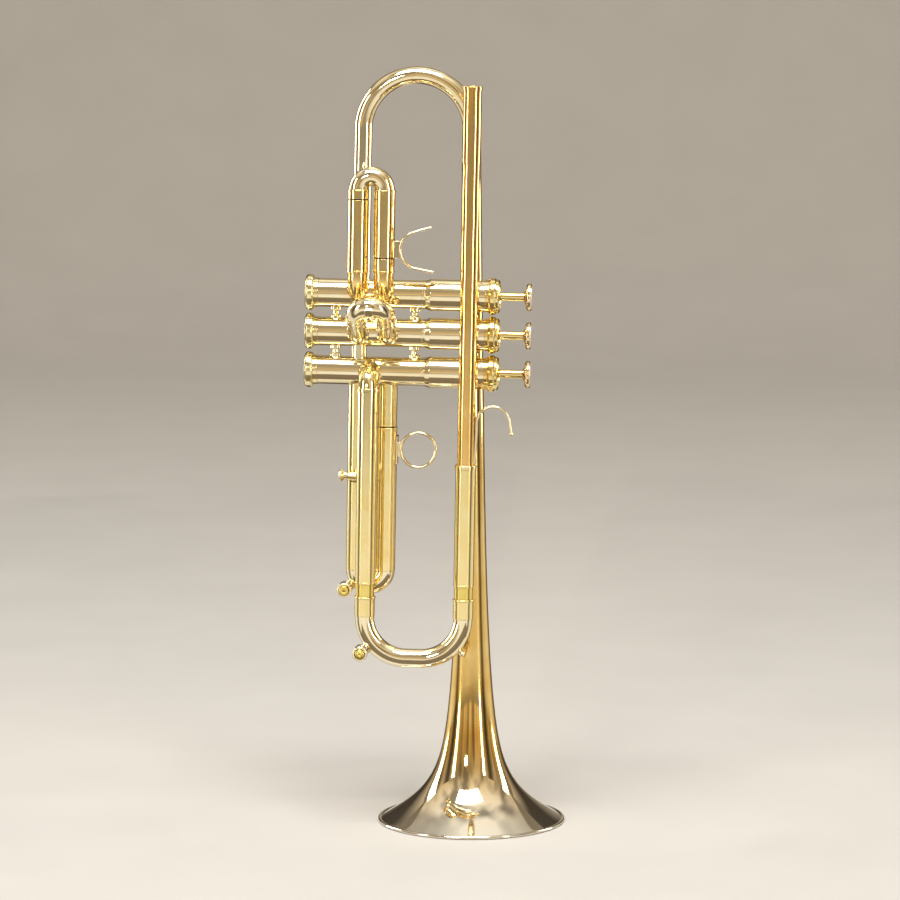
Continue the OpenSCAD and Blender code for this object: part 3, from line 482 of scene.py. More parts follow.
class Nodes:
    """A short way to write the node tree of a material, or of the world where one is given."""

    def __init__(self, name, world=None):
        self.mat = world or bpy.data.materials.new(name)
        self.mat.use_nodes = True
        self.tree = self.mat.node_tree
        self.tree.nodes.clear()
        out = self.add("ShaderNodeOutputWorld" if world else "ShaderNodeOutputMaterial")
        self.shader = self.add("ShaderNodeBackground" if world else "ShaderNodeBsdfPrincipled")
        self.link(self.shader.outputs[0], out.inputs[0])
        self.coords = self.add("ShaderNodeTexCoord").outputs["Generated" if world else "Object"]

    def xyz(self):
        split = self.add("ShaderNodeSeparateXYZ")
        self.link(self.coords, split.inputs[0])
        return split.outputs

    def add(self, kind, **values):
        node = self.tree.nodes.new(kind)
        for k, v in values.items():
            setattr(node, k, v)
        return node

    def link(self, a, b):
        self.tree.links.new(a, b)

    def noise(self, scale, detail=3.0, rough=0.55, stretch=(1, 1, 1), distort=0.0):
        m = self.add("ShaderNodeMapping")
        m.inputs["Scale"].default_value = stretch
        self.link(self.coords, m.inputs[0])
        n = self.add("ShaderNodeTexNoise")
        n.inputs["Scale"].default_value = scale
        n.inputs["Detail"].default_value = detail
        n.inputs["Roughness"].default_value = rough
        n.inputs["Distortion"].default_value = distort
        self.link(m.outputs[0], n.inputs["Vector"])
        return n.outputs["Fac"]

    def ramp(self, fac, stops):
        r = self.add("ShaderNodeValToRGB")
        e = r.color_ramp.elements
        while len(e) < len(stops):
            e.new(0.5)
        for k, (pos, c) in enumerate(stops):
            e[k].position = pos
            e[k].color = (*c, 1) if isinstance(c, (tuple, list)) else (c, c, c, 1)
        self.link(fac, r.inputs[0])
        return r.outputs[0]

    def span(self, fac, lo, hi, a=0.0, b=1.0):
        r = self.add("ShaderNodeMapRange")
        for k, v in (("From Min", a), ("From Max", b), ("To Min", lo), ("To Max", hi)):
            r.inputs[k].default_value = v
        self.link(fac, r.inputs["Value"])
        return r.outputs[0]

    def mix(self, fac, a, b, blend="MIX"):
        m = self.add("ShaderNodeMix", data_type="RGBA", blend_type=blend)
        for v, s in ((fac, m.inputs[0]), (a, m.inputs[6]), (b, m.inputs[7])):
            if isinstance(v, (int, float)):
                s.default_value = v
            elif isinstance(v, tuple):
                s.default_value = (*v, 1)
            else:
                self.link(v, s)
        return m.outputs[2]

    def math(self, op, a, b):
        m = self.add("ShaderNodeMath", operation=op)
        for v, s in ((a, m.inputs[0]), (b, m.inputs[1])):
            if isinstance(v, (int, float)):
                s.default_value = v
            else:
                self.link(v, s)
        return m.outputs[0]

    def bump(self, *layers):
        """Each layer is (height, strength, distance)."""
        last = None
        for height, strength, distance in layers:
            b = self.add("ShaderNodeBump")
            b.inputs["Strength"].default_value = strength
            b.inputs["Distance"].default_value = distance
            self.link(height, b.inputs["Height"])
            if last:
                self.link(last, b.inputs["Normal"])
            last = b.outputs[0]
        self.link(last, self.shader.inputs["Normal"])


def metal(name, light, deep, tarnish_and_shade, rough=(0.05, 0.13), wave=0.05, corner_shade=0.55, streak=(1, 1, 1), foot=None):
    """Polished plate: a tint that drifts, a haze in patches, hairline polishing marks, tarnished spots in
    patches, and painted shade in the corners and between parts, which ambient occlusion finds and which takes
    the spots' dark colour.
    foot is a second tint, paler and greyer, that takes over near the floor: painted reflection of dark
    surroundings on the bell's rim."""
    m = Nodes(name)
    cloud = m.noise(38, 4.0, 0.6, distort=0.6)
    fine = m.noise(420, 3.0, 0.6)
    tint = m.mix(m.span(cloud, 0, 1, 0.36, 0.66), light, deep)
    if foot:
        # Painted reflection: in the last 5 cm above the floor the tint turns paler and greyer. This stands in
        # for the reflection of dark surroundings on the bell's rim.
        tint = m.mix(m.span(m.xyz()["Z"], 1, 0, 0.004, 0.05), tint, foot)
    # Painted shade: ambient occlusion within 1.4 mm finds corners and the gaps between parts, and the tint is
    # darkened there towards the dark colour. The spots below are tarnished plate.
    ao = m.add("ShaderNodeAmbientOcclusion", samples=6)
    ao.inputs["Distance"].default_value = 0.0014
    corner = m.span(ao.outputs["AO"], 1, 0, 0.3, 0.92)
    spots = m.span(m.noise(900, 2.0, 0.5), 0, 1, 0.66, 0.74)
    age = m.math("MULTIPLY", m.span(cloud, 0.15, 0.5, 0.5, 0.75), spots)
    dark = m.math("MINIMUM", m.math("ADD", m.math("MULTIPLY", corner, corner_shade), age), 1.0)
    m.link(m.mix(dark, tint, tarnish_and_shade), m.shader.inputs["Base Color"])
    blur = m.math("ADD", m.math("MULTIPLY", cloud, 0.6), m.math("MULTIPLY", fine, 0.4))
    haze = m.span(blur, *rough, 0.35, 0.65)
    m.link(m.math("ADD", haze, m.math("MULTIPLY", dark, 0.22)), m.shader.inputs["Roughness"])
    m.shader.inputs["Metallic"].default_value = 1.0
    hair = m.noise(2600, 2.0, 0.5, stretch=streak)
    m.bump((m.noise(55, 1.0, 0.4), wave, 0.0006), (hair, 0.05, 0.00004))
    return m.mat


def pearl():
    """Mother-of-pearl: soft layers of pink, cream and green under a clear coat."""
    m = Nodes("pearl")
    layers = m.noise(150, 3.0, 0.55, stretch=(1, 1, 2.2), distort=1.4)
    c = m.ramp(layers, [(0.25, (0.90, 0.80, 0.74)), (0.45, (0.93, 0.90, 0.84)), (0.6, (0.83, 0.89, 0.86)),
                        (0.78, (0.95, 0.86, 0.83))])
    m.link(c, m.shader.inputs["Base Color"])
    m.link(m.span(layers, 0.16, 0.32, 0.3, 0.7), m.shader.inputs["Roughness"])
    m.shader.inputs["Coat Weight"].default_value = 0.7
    m.shader.inputs["Coat Roughness"].default_value = 0.06
    m.bump((layers, 0.12, 0.0002), (m.noise(1400), 0.03, 0.00005))
    return m.mat


def felt():
    m = Nodes("felt")
    nap = m.noise(2400, 4.0, 0.7)
    red = m.ramp(nap, [(0.3, (0.20, 0.035, 0.03)), (0.7, (0.42, 0.09, 0.07))])
    m.link(red, m.shader.inputs["Base Color"])
    m.link(m.span(nap, 0.8, 1.0), m.shader.inputs["Roughness"])
    m.shader.inputs["Sheen Weight"].default_value = 0.5
    m.bump((nap, 0.7, 0.0003))
    return m.mat


def make_materials():
    """Every look. A metal's three colours are its tint, the tint that it drifts to, and the dark colour of its
    tarnished spots and of its painted shade in corners.
    """
    plate_old_and_shade, slide_old_and_shade, gold_old_and_shade = (0.30, 0.19, 0.08), (0.28, 0.16, 0.05), (0.30, 0.18, 0.06)
    return {
        # One plate, tinted part by part: the more orange slides, first slide and leadpipe and the darker bell
        # are painted reflection of warm surroundings, set into each part's colour.
        "silver_plate": metal("silver_plate", (0.95, 0.87, 0.64), (0.91, 0.78, 0.48), plate_old_and_shade,
                              rough=(0.03, 0.09), streak=(1, 1, 0.06)),
        "casing": metal("silver_plate_casing", (0.95, 0.87, 0.64), (0.92, 0.80, 0.50), plate_old_and_shade,
                        rough=(0.04, 0.10), streak=(0.06, 1, 1)),
        "slide": metal("silver_plate_slide", (0.96, 0.83, 0.45), (0.92, 0.74, 0.31), slide_old_and_shade,
                       rough=(0.10, 0.18), corner_shade=0.75, streak=(1, 1, 0.05)),
        "first": metal("silver_plate_first", (0.96, 0.77, 0.39), (0.92, 0.67, 0.25), slide_old_and_shade,
                       rough=(0.09, 0.17), corner_shade=0.75, streak=(1, 1, 0.05)),
        "lead": metal("silver_plate_pipe", (0.94, 0.67, 0.27), (0.88, 0.55, 0.17), slide_old_and_shade,
                      rough=(0.08, 0.16), corner_shade=0.75, streak=(1, 1, 0.05)),
        # The bell's foot tint is painted reflection of dark surroundings at the rim.
        "bell": metal("silver_plate_bell", (0.86, 0.64, 0.26), (0.78, 0.51, 0.15), (0.34, 0.20, 0.07),
                      rough=(0.03, 0.08), wave=0.07, corner_shade=0.35, streak=(1, 1, 0.08), foot=(0.76, 0.71, 0.60)),
        "cap": metal("gold_trim_cap", (0.95, 0.88, 0.58), (0.92, 0.80, 0.46), gold_old_and_shade, rough=(0.07, 0.16)),
        "gold_trim": metal("gold_trim", (0.92, 0.78, 0.38), (0.84, 0.66, 0.25), gold_old_and_shade, rough=(0.07, 0.16)),
        "button": metal("gold_trim_button", (0.94, 0.82, 0.60), (0.90, 0.72, 0.46), (0.32, 0.20, 0.10),
                        rough=(0.08, 0.18)),
        "bare_brass": metal("bare_brass", (0.90, 0.74, 0.24), (0.82, 0.63, 0.16), (0.26, 0.16, 0.05),
                            rough=(0.10, 0.22), streak=(1, 1, 0.04)),
        "nickel_alloy": metal("nickel_alloy", (0.78, 0.77, 0.74), (0.70, 0.68, 0.64), (0.22, 0.19, 0.15),
                              rough=(0.14, 0.28)),
        "spring_steel": metal("spring_steel", (0.58, 0.59, 0.61), (0.48, 0.48, 0.49), (0.17, 0.14, 0.12),
                              rough=(0.22, 0.36)),
        "pearl": pearl(), "felt": felt(),
    }


MATERIALS = make_materials()
BLOCK = Matrix.Rotation(LEAN, 4, "Y")
made = {}


def piece(node, shell, body="root", look="silver_plate", turn=BLOCK):
    """Builds a fine piece in place of a CAD node."""
    mesh = shell.build(node + ".fine", turn)
    obj = bpy.data.objects.new(node + ".fine", mesh)
    scene.collection.objects.link(obj)
    mesh.materials.append(MATERIALS[look])
    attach(obj, body)
    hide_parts(node)
    made[node] = obj
    return obj


def block(p):
    """A point of the bell's own frame in the block frame."""
    c, s = math.cos(LEAN), math.sin(LEAN)
    return np.array([p[0] * c - p[2] * s, p[1], p[2] * c + p[0] * s])


# ---------------- bell

def bell_r(z):
    return 32.81 * np.exp(-(z / 18) ** 1.2) + 18.11 * np.exp(-z / 60) + 10.78 - 0.01054 * z


def bell_wall(zs):
    """Outer points and normals, then inner, as (height, radius), from the lowest height up."""
    slope = (bell_r(zs + 0.05) - bell_r(zs - 0.05)) / 0.1
    n = np.stack([-slope, np.ones_like(slope)], -1)
    n /= np.linalg.norm(n, axis=1)[:, None]
    p = np.stack([zs, bell_r(zs)], -1)
    return p, n, p - BELL_WALL * n, -n


def turned(shell, p, n, seg=192):
    """A closed turned form about Z from points and normals given as (height, radius)."""
    ring = circle(X, Y, seg)
    shell.grid(spin(p, ring, Z), spin(n, ring, Z), wrap=True)


def build_bell():
    split = RIM_TOP + (BELL_H - RIM_TOP) * (14 / 40) ** 2.2
    low = 1.72
    zs = low + (split - low) * np.linspace(0, 1, 64) ** 1.5
    p, n, q, m = bell_wall(zs)
    a = np.radians(np.linspace(150, -172, 44))
    bead_n = np.stack([np.sin(a), np.cos(a)], -1)
    bead = np.array([RIM_BEAD_R, RIM_R]) + RIM_BEAD_R * bead_n
    s = Shell()
    turned(s, np.concatenate([p[::-1], bead, q[1:]]), np.concatenate([n[::-1], bead_n, m[1:]]))
    piece("bell_flare", s, look="bell", turn=Matrix.Identity(4))
    zs = split + (BELL_H - split) * np.linspace(0, 1, 90) ** 1.2
    p, n, q, m = bell_wall(zs)
    s = Shell()
    turned(s, np.concatenate([p[::-1], q]), np.concatenate([n[::-1], m]))
    piece("bell_stem", s, look="bell", turn=Matrix.Identity(4))

    bow_r, bow_z, elbow_r = 35, 453.82, 11
    bow = [block(p) for p in arc((-bow_r, 0, bow_z), X, Z, bow_r, 0, 178.97, 2.5)]
    x, z = bow[-1][0], VALVE_Z[0]
    elbow = arc((x, -elbow_r, z + elbow_r), Y, Z, elbow_r, 0, -90, 4)
    path = join(bow, line(bow[-1], elbow[0]), elbow, line((x, -elbow_r, z), (x, -17, z), 2))
    s = Shell()
    sweep(s, path, 5.75, 64, into=1, head=[(2.5, 0), (2.5, 5.2), (0, 5.2), (0, 5.75)])
    piece("bell_bow", s)

    s = Shell()
    for z in (404, 268):
        rb = float(bell_r(np.array(z)))
        pipe_x = PIPE_X * math.cos(LEAN) + z * math.sin(LEAN)
        x = pipe_x / 2
        gap = -PIPE_Y - PIPE_R
        post(s, np.array([x, 0, z]), -Y, Z, -PIPE_Y, (rb - 0.1, x), (5.6, x - pipe_x),
             [(rb + 1.1, 3.4), (rb + 1.5, 2.3), (rb + 2.6, 1.75),
              (gap - 2.6, 1.75), (gap - 1.5, 2.3), (gap - 1.1, 3.4)])
    piece("bell_braces", s, turn=Matrix.Identity(4))


# ---------------- leadpipe side

def build_pipe():
    at = (PIPE_X, PIPE_Y, 0)
    s = Shell()
    lathe(s, [(434.7, 4.75), (434.7, 5.95), (480.9, 5.95, 0.1), (480.9, 6.25, 0.2), (483.3, 6.25, 0.5),
              (483.3, 5.45, 0.3), (479.3, 5.45), (451.3, 4.75)], at, Z, 96, closed=True)
    piece("mouthpiece_receiver", s, look="lead")
    s = Shell()
    pipe(s, at, Z, 236, 434.68, PIPE_R, 5.05, 96)
    piece("leadpipe", s, look="lead")
    s = Shell()
    lathe(s, [(161.7, SLEEVE_BORE_R), (161.7, 6.7, 0.25), (162.9, 6.7, 0.25), (162.9, SLEEVE_R, 0.1),
              (238, SLEEVE_R, 0.1), (238, BEAD_R, 0.45), (240.8, BEAD_R, 0.7), (240.8, 5.67, 0.1),
              (235.98, 5.67), (235.98, SLEEVE_BORE_R)], at, Z, 96, closed=True)
    piece("tuning_sleeve_upper", s, look="slide")
    s = Shell()
    z, elbow_r = VALVE_Z[2], 10.65
    y = PIPE_Y + elbow_r
    path = join(line((LOWER_X, PIPE_Y, 161.7), (LOWER_X, PIPE_Y, z - elbow_r), 3),
                arc((LOWER_X, y, z - elbow_r), Y, Z, elbow_r, 180, 90, 4),
                line((LOWER_X, y, z), (LOWER_X, -22, z), 2))
    sweep(s, path, SLEEVE_R, 72, into=3,
          head=[(120, 0), (120, SLEEVE_BORE_R), (0, SLEEVE_BORE_R), (0, 6.7, 0.25), (1.2, 6.7, 0.25),
                (1.2, SLEEVE_R, 0.1), (124.8, SLEEVE_R, 0.1), (124.8, BEAD_R, 0.45), (126.6, BEAD_R, 0.45),
                (126.6, SLEEVE_R, 0.1)])
    piece("tuning_sleeve_lower", s, look="slide")

    s = Shell()
    hook_r, foot_x, foot_z = 10.6, 0.9, 268.2
    hook = join(line((0.02, PIPE_Y, 242.2), (foot_x, PIPE_Y, 260.5), 1.5),
                line((foot_x, PIPE_Y, 260.5), (foot_x, PIPE_Y, foot_z), 1.5),
                arc((foot_x + hook_r, PIPE_Y, foot_z), X, Z, hook_r, 180, 10, 4))
    a = math.radians(10)
    onward = np.array([math.sin(a), 0, -math.cos(a)])
    tip = hook[-1] + 8.6 * onward
    hook = join(hook, line(hook[-1], tip, 1.2))

    def slim(q):
        return (min(1.0, 0.78 + 1.1 * q) if q < 0.3 else 1.0 - 0.42 * (q - 0.3) / 0.7,
                0.62 + 1.27 * min(q, 0.3) if q < 0.3 else 1.0 - 0.25 * (q - 0.3) / 0.7)

    strip(s, hook, Y, 4.6, 2.0, 0.85, slim)
    ball(s, tip + 0.35 * onward, 1.3)
    piece("pinky_hook", s)


def ball(shell, at, r, axis=Z, seg=32):
    t = np.radians(np.linspace(-90, 90, 17))[1:-1]
    axis = unit(axis)
    n = spin(np.stack([np.sin(t), np.cos(t)], -1), circle(*across(axis), seg), axis)
    at = np.asarray(at, float)
    shell.grid(at + r * n, n, pole_a=(at - r * axis, -axis), pole_b=(at + r * axis, axis))


# ---------------- valve block

def build_valves():
    for i, z in enumerate(VALVE_Z, 1):
        at = (0, VALVE_Y, z)
        s = Shell()
        lathe(s, [(-108, 8.43), (-108, 8.9), (-103.5, 8.9, 0), (-103.5, CASING_R, 0.2),
                  (-35.9, CASING_R, 0.08), (-35.9, 9.6, 0.25), (-34.7, 9.6, 0.25), (-34.7, CASING_R, 0.08),
                  (-34.1, CASING_R, 0.5), (-30.9, CASING_TOP_R, 1.2), (4.4, CASING_TOP_R, 0.1),
                  (4.4, 9.95, 0), (9.6, 9.95), (9.6, 9.35), (-31, 9.35), (-31, 8.43)], at, X, 112, closed=True)
        piece(f"valve_casing_{i}", s, look="casing")
        s = Shell()
        lathe(s, [(5.4, 0), (5.4, 4.6, 0.3), (6.2, 4.4, 0.3), (6.2, 2.8, 0.3), (28.98, 2.8, 0.05),
                  (28.98, 1.8), (32.2, 1.8), (32.2, 0)], at, X, 48)
        piece(f"valve_stem_{i}", s, f"valve_{i}", "gold_trim")
        s = Shell()
        lathe(s, [(29.02, 1.82), (29.02, 3.2, 0.2), (30, 4.4, 0.6), (30.5, 7.75, 0.5), (31.3, 8.85, 1.0),
                  (32.2, 9.15, 0.9), (33.3, 8.95, 0.8), (33.8, 8.35, 0.4), (33.8, 7.65, 0.15),
                  (32.6, 7.65, 0), (32.6, 5.0), (32.22, 5.0), (32.22, 1.82)], at, X, 80, closed=True)
        piece(f"finger_button_{i}", s, f"valve_{i}", "button")
        s = Shell()
        lathe(s, [(32.62, 0), (32.62, 7.63, 0), (33.62, 7.63, 0.3), (34.07, 6.56, 1.2), (34.32, 4.58, 3),
                  (34.42, 0)], at, X, 72)
        piece(f"button_pearl_{i}", s, f"valve_{i}", "pearl")

    top, low = Shell(), Shell()
    for z in VALVE_Z:
        at = (0, VALVE_Y, z)
        lathe(top, [(4.42, 9.97), (4.42, 10.6, 0.15), (6.6, 10.6, 0.15), (6.6, 11.3, 0.25), (7.6, 12, 0.9),
                    (10.2, 12, 0.9), (11, 11.2, 0.5), (12.6, 10.9, 0.8), (13.6, 9.6, 0.7),
                    (13.6, 7.42, 0.15), (11.4, 7.42, 0), (11.4, 3.4, 0.15), (10.2, 3.4), (10.2, 8.15),
                    (9.62, 8.15), (9.62, 9.97)], at, X, 112, closed=True)
        lathe(low, [(-112, 1.6, 0.1), (-112, 9.65, 0.5), (-111.4, 10.95, 0.7), (-110.2, 11.65, 0.9),
                    (-107.6, 11.65, 0.8), (-106.6, 11.05, 0.4), (-106.6, 9.55, 0.15), (-103.52, 9.55, 0.3),
                    (-103.52, 8.92), (-108.02, 8.92), (-108.02, 7.4), (-110.2, 7.4), (-110.2, 1.6)],
              at, X, 112, closed=True)
    piece("top_caps", top, "root", "gold_trim")
    piece("bottom_caps", low, "root", "cap")

    s = Shell()
    for z in VALVE_Z[:2]:
        for x in (-92.4, -41.2):
            post(s, np.array([x, VALVE_Y, z]), -Z, X, VALVE_PITCH, (9.2, 0), (9.2, 0),
                 [(10.73, 3.4), (10.73, 2.3), (11.6, 1.75), (13.4, 1.75), (14.27, 2.3), (14.27, 3.4)])
    piece("casing_braces", s, look="casing")
    s = Shell()
    for z, x in ((VALVE_Z[0], -67.5), (VALVE_Z[1], LEG_A)):
        post(s, np.array([x, VALVE_Y, z]), -Z, X, VALVE_PITCH, (9.2, 0), (9.2, 0), [(10.2, 4.9), (14.8, 4.9)])
    piece("passage_tubes", s)


# ---------------- slides

def web(shell, centre, r, spread, foot_x, foot, thick, soft):
    """The web from a slide at foot_x to a ring or a saddle, which it meets `spread` degrees either side."""
    x, y, z = centre
    a = np.radians(np.linspace(180 - spread, 180 + spread, 12))
    curve = [(x + r * math.cos(g), z + r * math.sin(g)) for g in a]
    shape = [(foot_x, z + foot), *curve, (foot_x, z - foot)]
    slab(shell, shape[::-1], X, Z, np.array([0, y, 0]), Y, -thick / 2, thick / 2, soft)


def build_first():
    s = Shell()
    r, bead, z, elbow_r = FIRST_SLEEVE_R, FIRST_BEAD_R, VALVE_Z[0], 10
    head_a = [(36.1, 0), (36.1, SLEEVE_BORE_R), (0, SLEEVE_BORE_R), (0, r), (45.2, r, 0.1), (45.2, bead, 0.4),
              (46.5, bead, 0.4), (46.5, CROOK_R, 0.15)]
    head_b = [(39, 0), (39, LEG_BORE_R), (0, LEG_BORE_R), (0, LEG_R), (33.2, LEG_R, 0), (33.2, r),
              (41.1, r, 0.1), (41.1, bead, 0.4), (42.4, bead, 0.4), (42.4, CROOK_R, 0.15)]
    for x, top, head in ((FIRST_A, 409.1, head_a), (FIRST_B, 405.0, head_b)):
        path = join(line((x, FIRST_Y, top), (x, FIRST_Y, z + elbow_r), 3),
                    arc((x, FIRST_Y + elbow_r, z + elbow_r), Y, Z, elbow_r, 180, 270, 4))
        sweep(s, path, CROOK_R, 72, into=1, head=head)
    piece("first_slide_ports", s, look="first")
    s = Shell()
    lathe(s, [(369, LEG_BORE_R), (369, LEG_R), (409.8, LEG_R, 0), (409.8, r), (414.5, r, 0.1),
              (414.5, bead, 0.4), (415.8, bead, 0.4), (415.8, LEG_BORE_R)], (FIRST_A, FIRST_Y, 0), Z, 72,
          closed=True)
    pipe(s, (FIRST_B, FIRST_Y, 0), Z, 372.6, 415.8, r, SLEEVE_BORE_R, beads=[(414.5, 415.8, bead)])
    piece("first_slide_tubes", s, "first_slide", "first")
    s = Shell()
    sweep(s, arc((-69.5, FIRST_Y, 415.82), X, Z, 8.4, 180, 0, 4), CROOK_R, 64, head=CROOK_END)
    piece("first_slide_crook", s, "first_slide")
    s = Shell()
    centre = np.array([-38.6, FIRST_Y, 377.8])
    curve = arc(centre, X, Z, 12, 107, 260, 4)
    up, down = (11.65 * np.array([math.cos(a), 0, math.sin(a)]) for a in np.radians([17, -10]))
    path = join(line(curve[0] + up, curve[0], 1.5), curve, line(curve[-1], curve[-1] + down, 1.5))
    strip(s, path, Y, 8, 1.6, 0.7)
    web(s, centre, 12.1, 27, -54.7, 5.5, 4, 0.5)
    piece("thumb_saddle", s, "first_slide")


def build_second():
    """The slide's own frame starts at `base`, where the knuckles end, and its legs run along `up`."""
    tilt, bend = SECOND_TILT, SECOND_BEND
    up = np.array([0, -math.cos(tilt), math.sin(tilt)])
    over = np.array([0, math.sin(tilt), math.cos(tilt)])
    y, z = VALVE_Y - SECOND_OUT, VALVE_Z[1]
    base = np.array([0, y - bend * math.sin(tilt), z + bend * (1 - math.cos(tilt))])
    fixed, ferrule, straight, ring = 11.2, 15.4, 17.5, 1.3
    s = Shell()
    for x in (LEG_A, LEG_B):
        foot = base + x * X
        path = join(line(foot + up * fixed, foot, 0.8), arc((x, y, z + bend), Y, Z, bend, 232, 270, 3),
                    line((x, y, z), (x, VALVE_Y - 4, z), 0.8))
        sweep(s, path, CROOK_R, 72, into=2,
              head=[(fixed, 0), (fixed, 5.2), (10.8, 5.2), (10.8, LEG_R), (0, LEG_R), (0, 6.8, 0.4),
                    (ring, 6.8, 0.4), (ring, SLEEVE_R, 0.1), (11.5, SLEEVE_R, 0.2), (11.6, CROOK_R, 0.1)])
    piece("second_slide_ports", s, look="casing")
    s = Shell()
    for x in (LEG_A, LEG_B):
        lathe(s, [(0.8, LEG_BORE_R), (0.8, 6), (11.5, 6, 0), (11.5, SLEEVE_R, 0.3),
                  (ferrule, SLEEVE_R, 0.3), (ferrule, LEG_BORE_R)], base + x * X, up, 72, closed=True)
    piece("second_slide_tubes", s, "second_slide", "casing")
    s = Shell()
    low, high = up * 15.42, up * straight
    mid = base + LEG_MID * X
    path = join(line(base + LEG_A * X + low, base + LEG_A * X + high, 1),
                arc(mid + high, X, up, LEG_TURN_R, 180, 0, 4),
                line(base + LEG_B * X + high, base + LEG_B * X + low, 1))
    sweep(s, path, CROOK_R, 64, head=CROOK_END)
    piece("second_slide_crook", s, "second_slide")
    s = Shell()
    a = math.radians(58)
    d = math.cos(a) * up - math.sin(a) * over
    apex = mid + up * (straight + LEG_TURN_R)
    strip(s, line(apex + d * 5.6, apex + d * 8.55, 0.5), X, 5.2, 4.4, 0.8)
    piece("second_slide_nib", s, "second_slide")


def build_third():
    s = Shell()
    path = line((LEG_A, VALVE_Y, 226.5), (LEG_A, VALVE_Y, 296), 2)
    sweep(s, path, SLEEVE_R, 72, into=3, head=[(55.5, 0), (55.5, SLEEVE_BORE_R), (0, SLEEVE_BORE_R),
                                               (0, 6.8, 0.4), (1.3, 6.8, 0.4), (1.3, SLEEVE_R, 0.1)])
    path = line((LEG_B, VALVE_Y, 222), (LEG_B, VALVE_Y, 296), 2)
    sweep(s, path, CROOK_R, 72, into=3, head=[(50, 0), (50, 5.2), (0, 5.2), (0, LEG_R), (40.5, LEG_R, 0),
                                              (40.5, CROOK_R)])
    lathe(s, [(-77.8, 0), (-77.8, 1.45), (-82.2, 1.45), (-82.2, 2.7, 0.4), (-76.6, 3.2, 0.5), (-76.6, 0)],
          (0, SCREW_Y, SCREW_Z), X, 48)
    post(s, np.array([-78.6, VALVE_Y, SCREW_Z]), -Y, Z, 8.6, (6.4, -1.2), None, [(7.2, 2.7), (8.6, 2.7)])
    piece("third_slide_ports", s, look="slide")
    s = Shell()
    lathe(s, [(0, 0), (0, 3.6, 0.4), (0.4, 4.1, 0.3), (1.2, 4.1, 0.3), (3.2, 2.5, 1.5), (5.2, 2.5, 0.3),
              (5.2, 1.4), (8.8, 1.4), (8.8, 0)], (-87.8, SCREW_Y, SCREW_Z), X, 56)
    piece("stop_screw", s, "stop_screw")
    s = Shell()
    lathe(s, [(168, LEG_BORE_R), (168, SLEEVE_R), (225.9, SLEEVE_R), (225.9, LEG_R, 0), (281, LEG_R),
              (281, LEG_BORE_R)], (LEG_A, VALVE_Y, 0), Z, 72, closed=True)
    pipe(s, (LEG_B, VALVE_Y, 0), Z, 168, 261.7, SLEEVE_R, SLEEVE_BORE_R, beads=[(260.4, 261.7, 6.8)])
    piece("third_slide_tubes", s, "third_slide", "slide")
    s = Shell()
    path = arc((LEG_MID, VALVE_Y, 167.98), X, Z, LEG_TURN_R, 180, 360, 4)
    sweep(s, path, CROOK_R, 64, head=CROOK_END)
    piece("third_slide_crook", s, "third_slide")

    s = Shell()
    centre = np.array([-37.6, VALVE_Y, 247.3])
    strip_loop(s, centre, X, Z, 11.25, Y, 4.6, 1.7, 0.83)
    web(s, centre, 11.4, 25, -51.8, 5, 3.4, 0.6)
    a = np.radians(np.linspace(-24, 24, 13))
    inner, outer = ([(r * math.cos(g), r * math.sin(g)) for g in a] for r in (CROOK_R, 7.45))
    slab(s, outer[::-1] + inner, X, Y, np.array([LEG_B, VALVE_Y, 0]), Z, 238.3, 256.3, 0.3)
    piece("finger_ring", s, "third_slide")


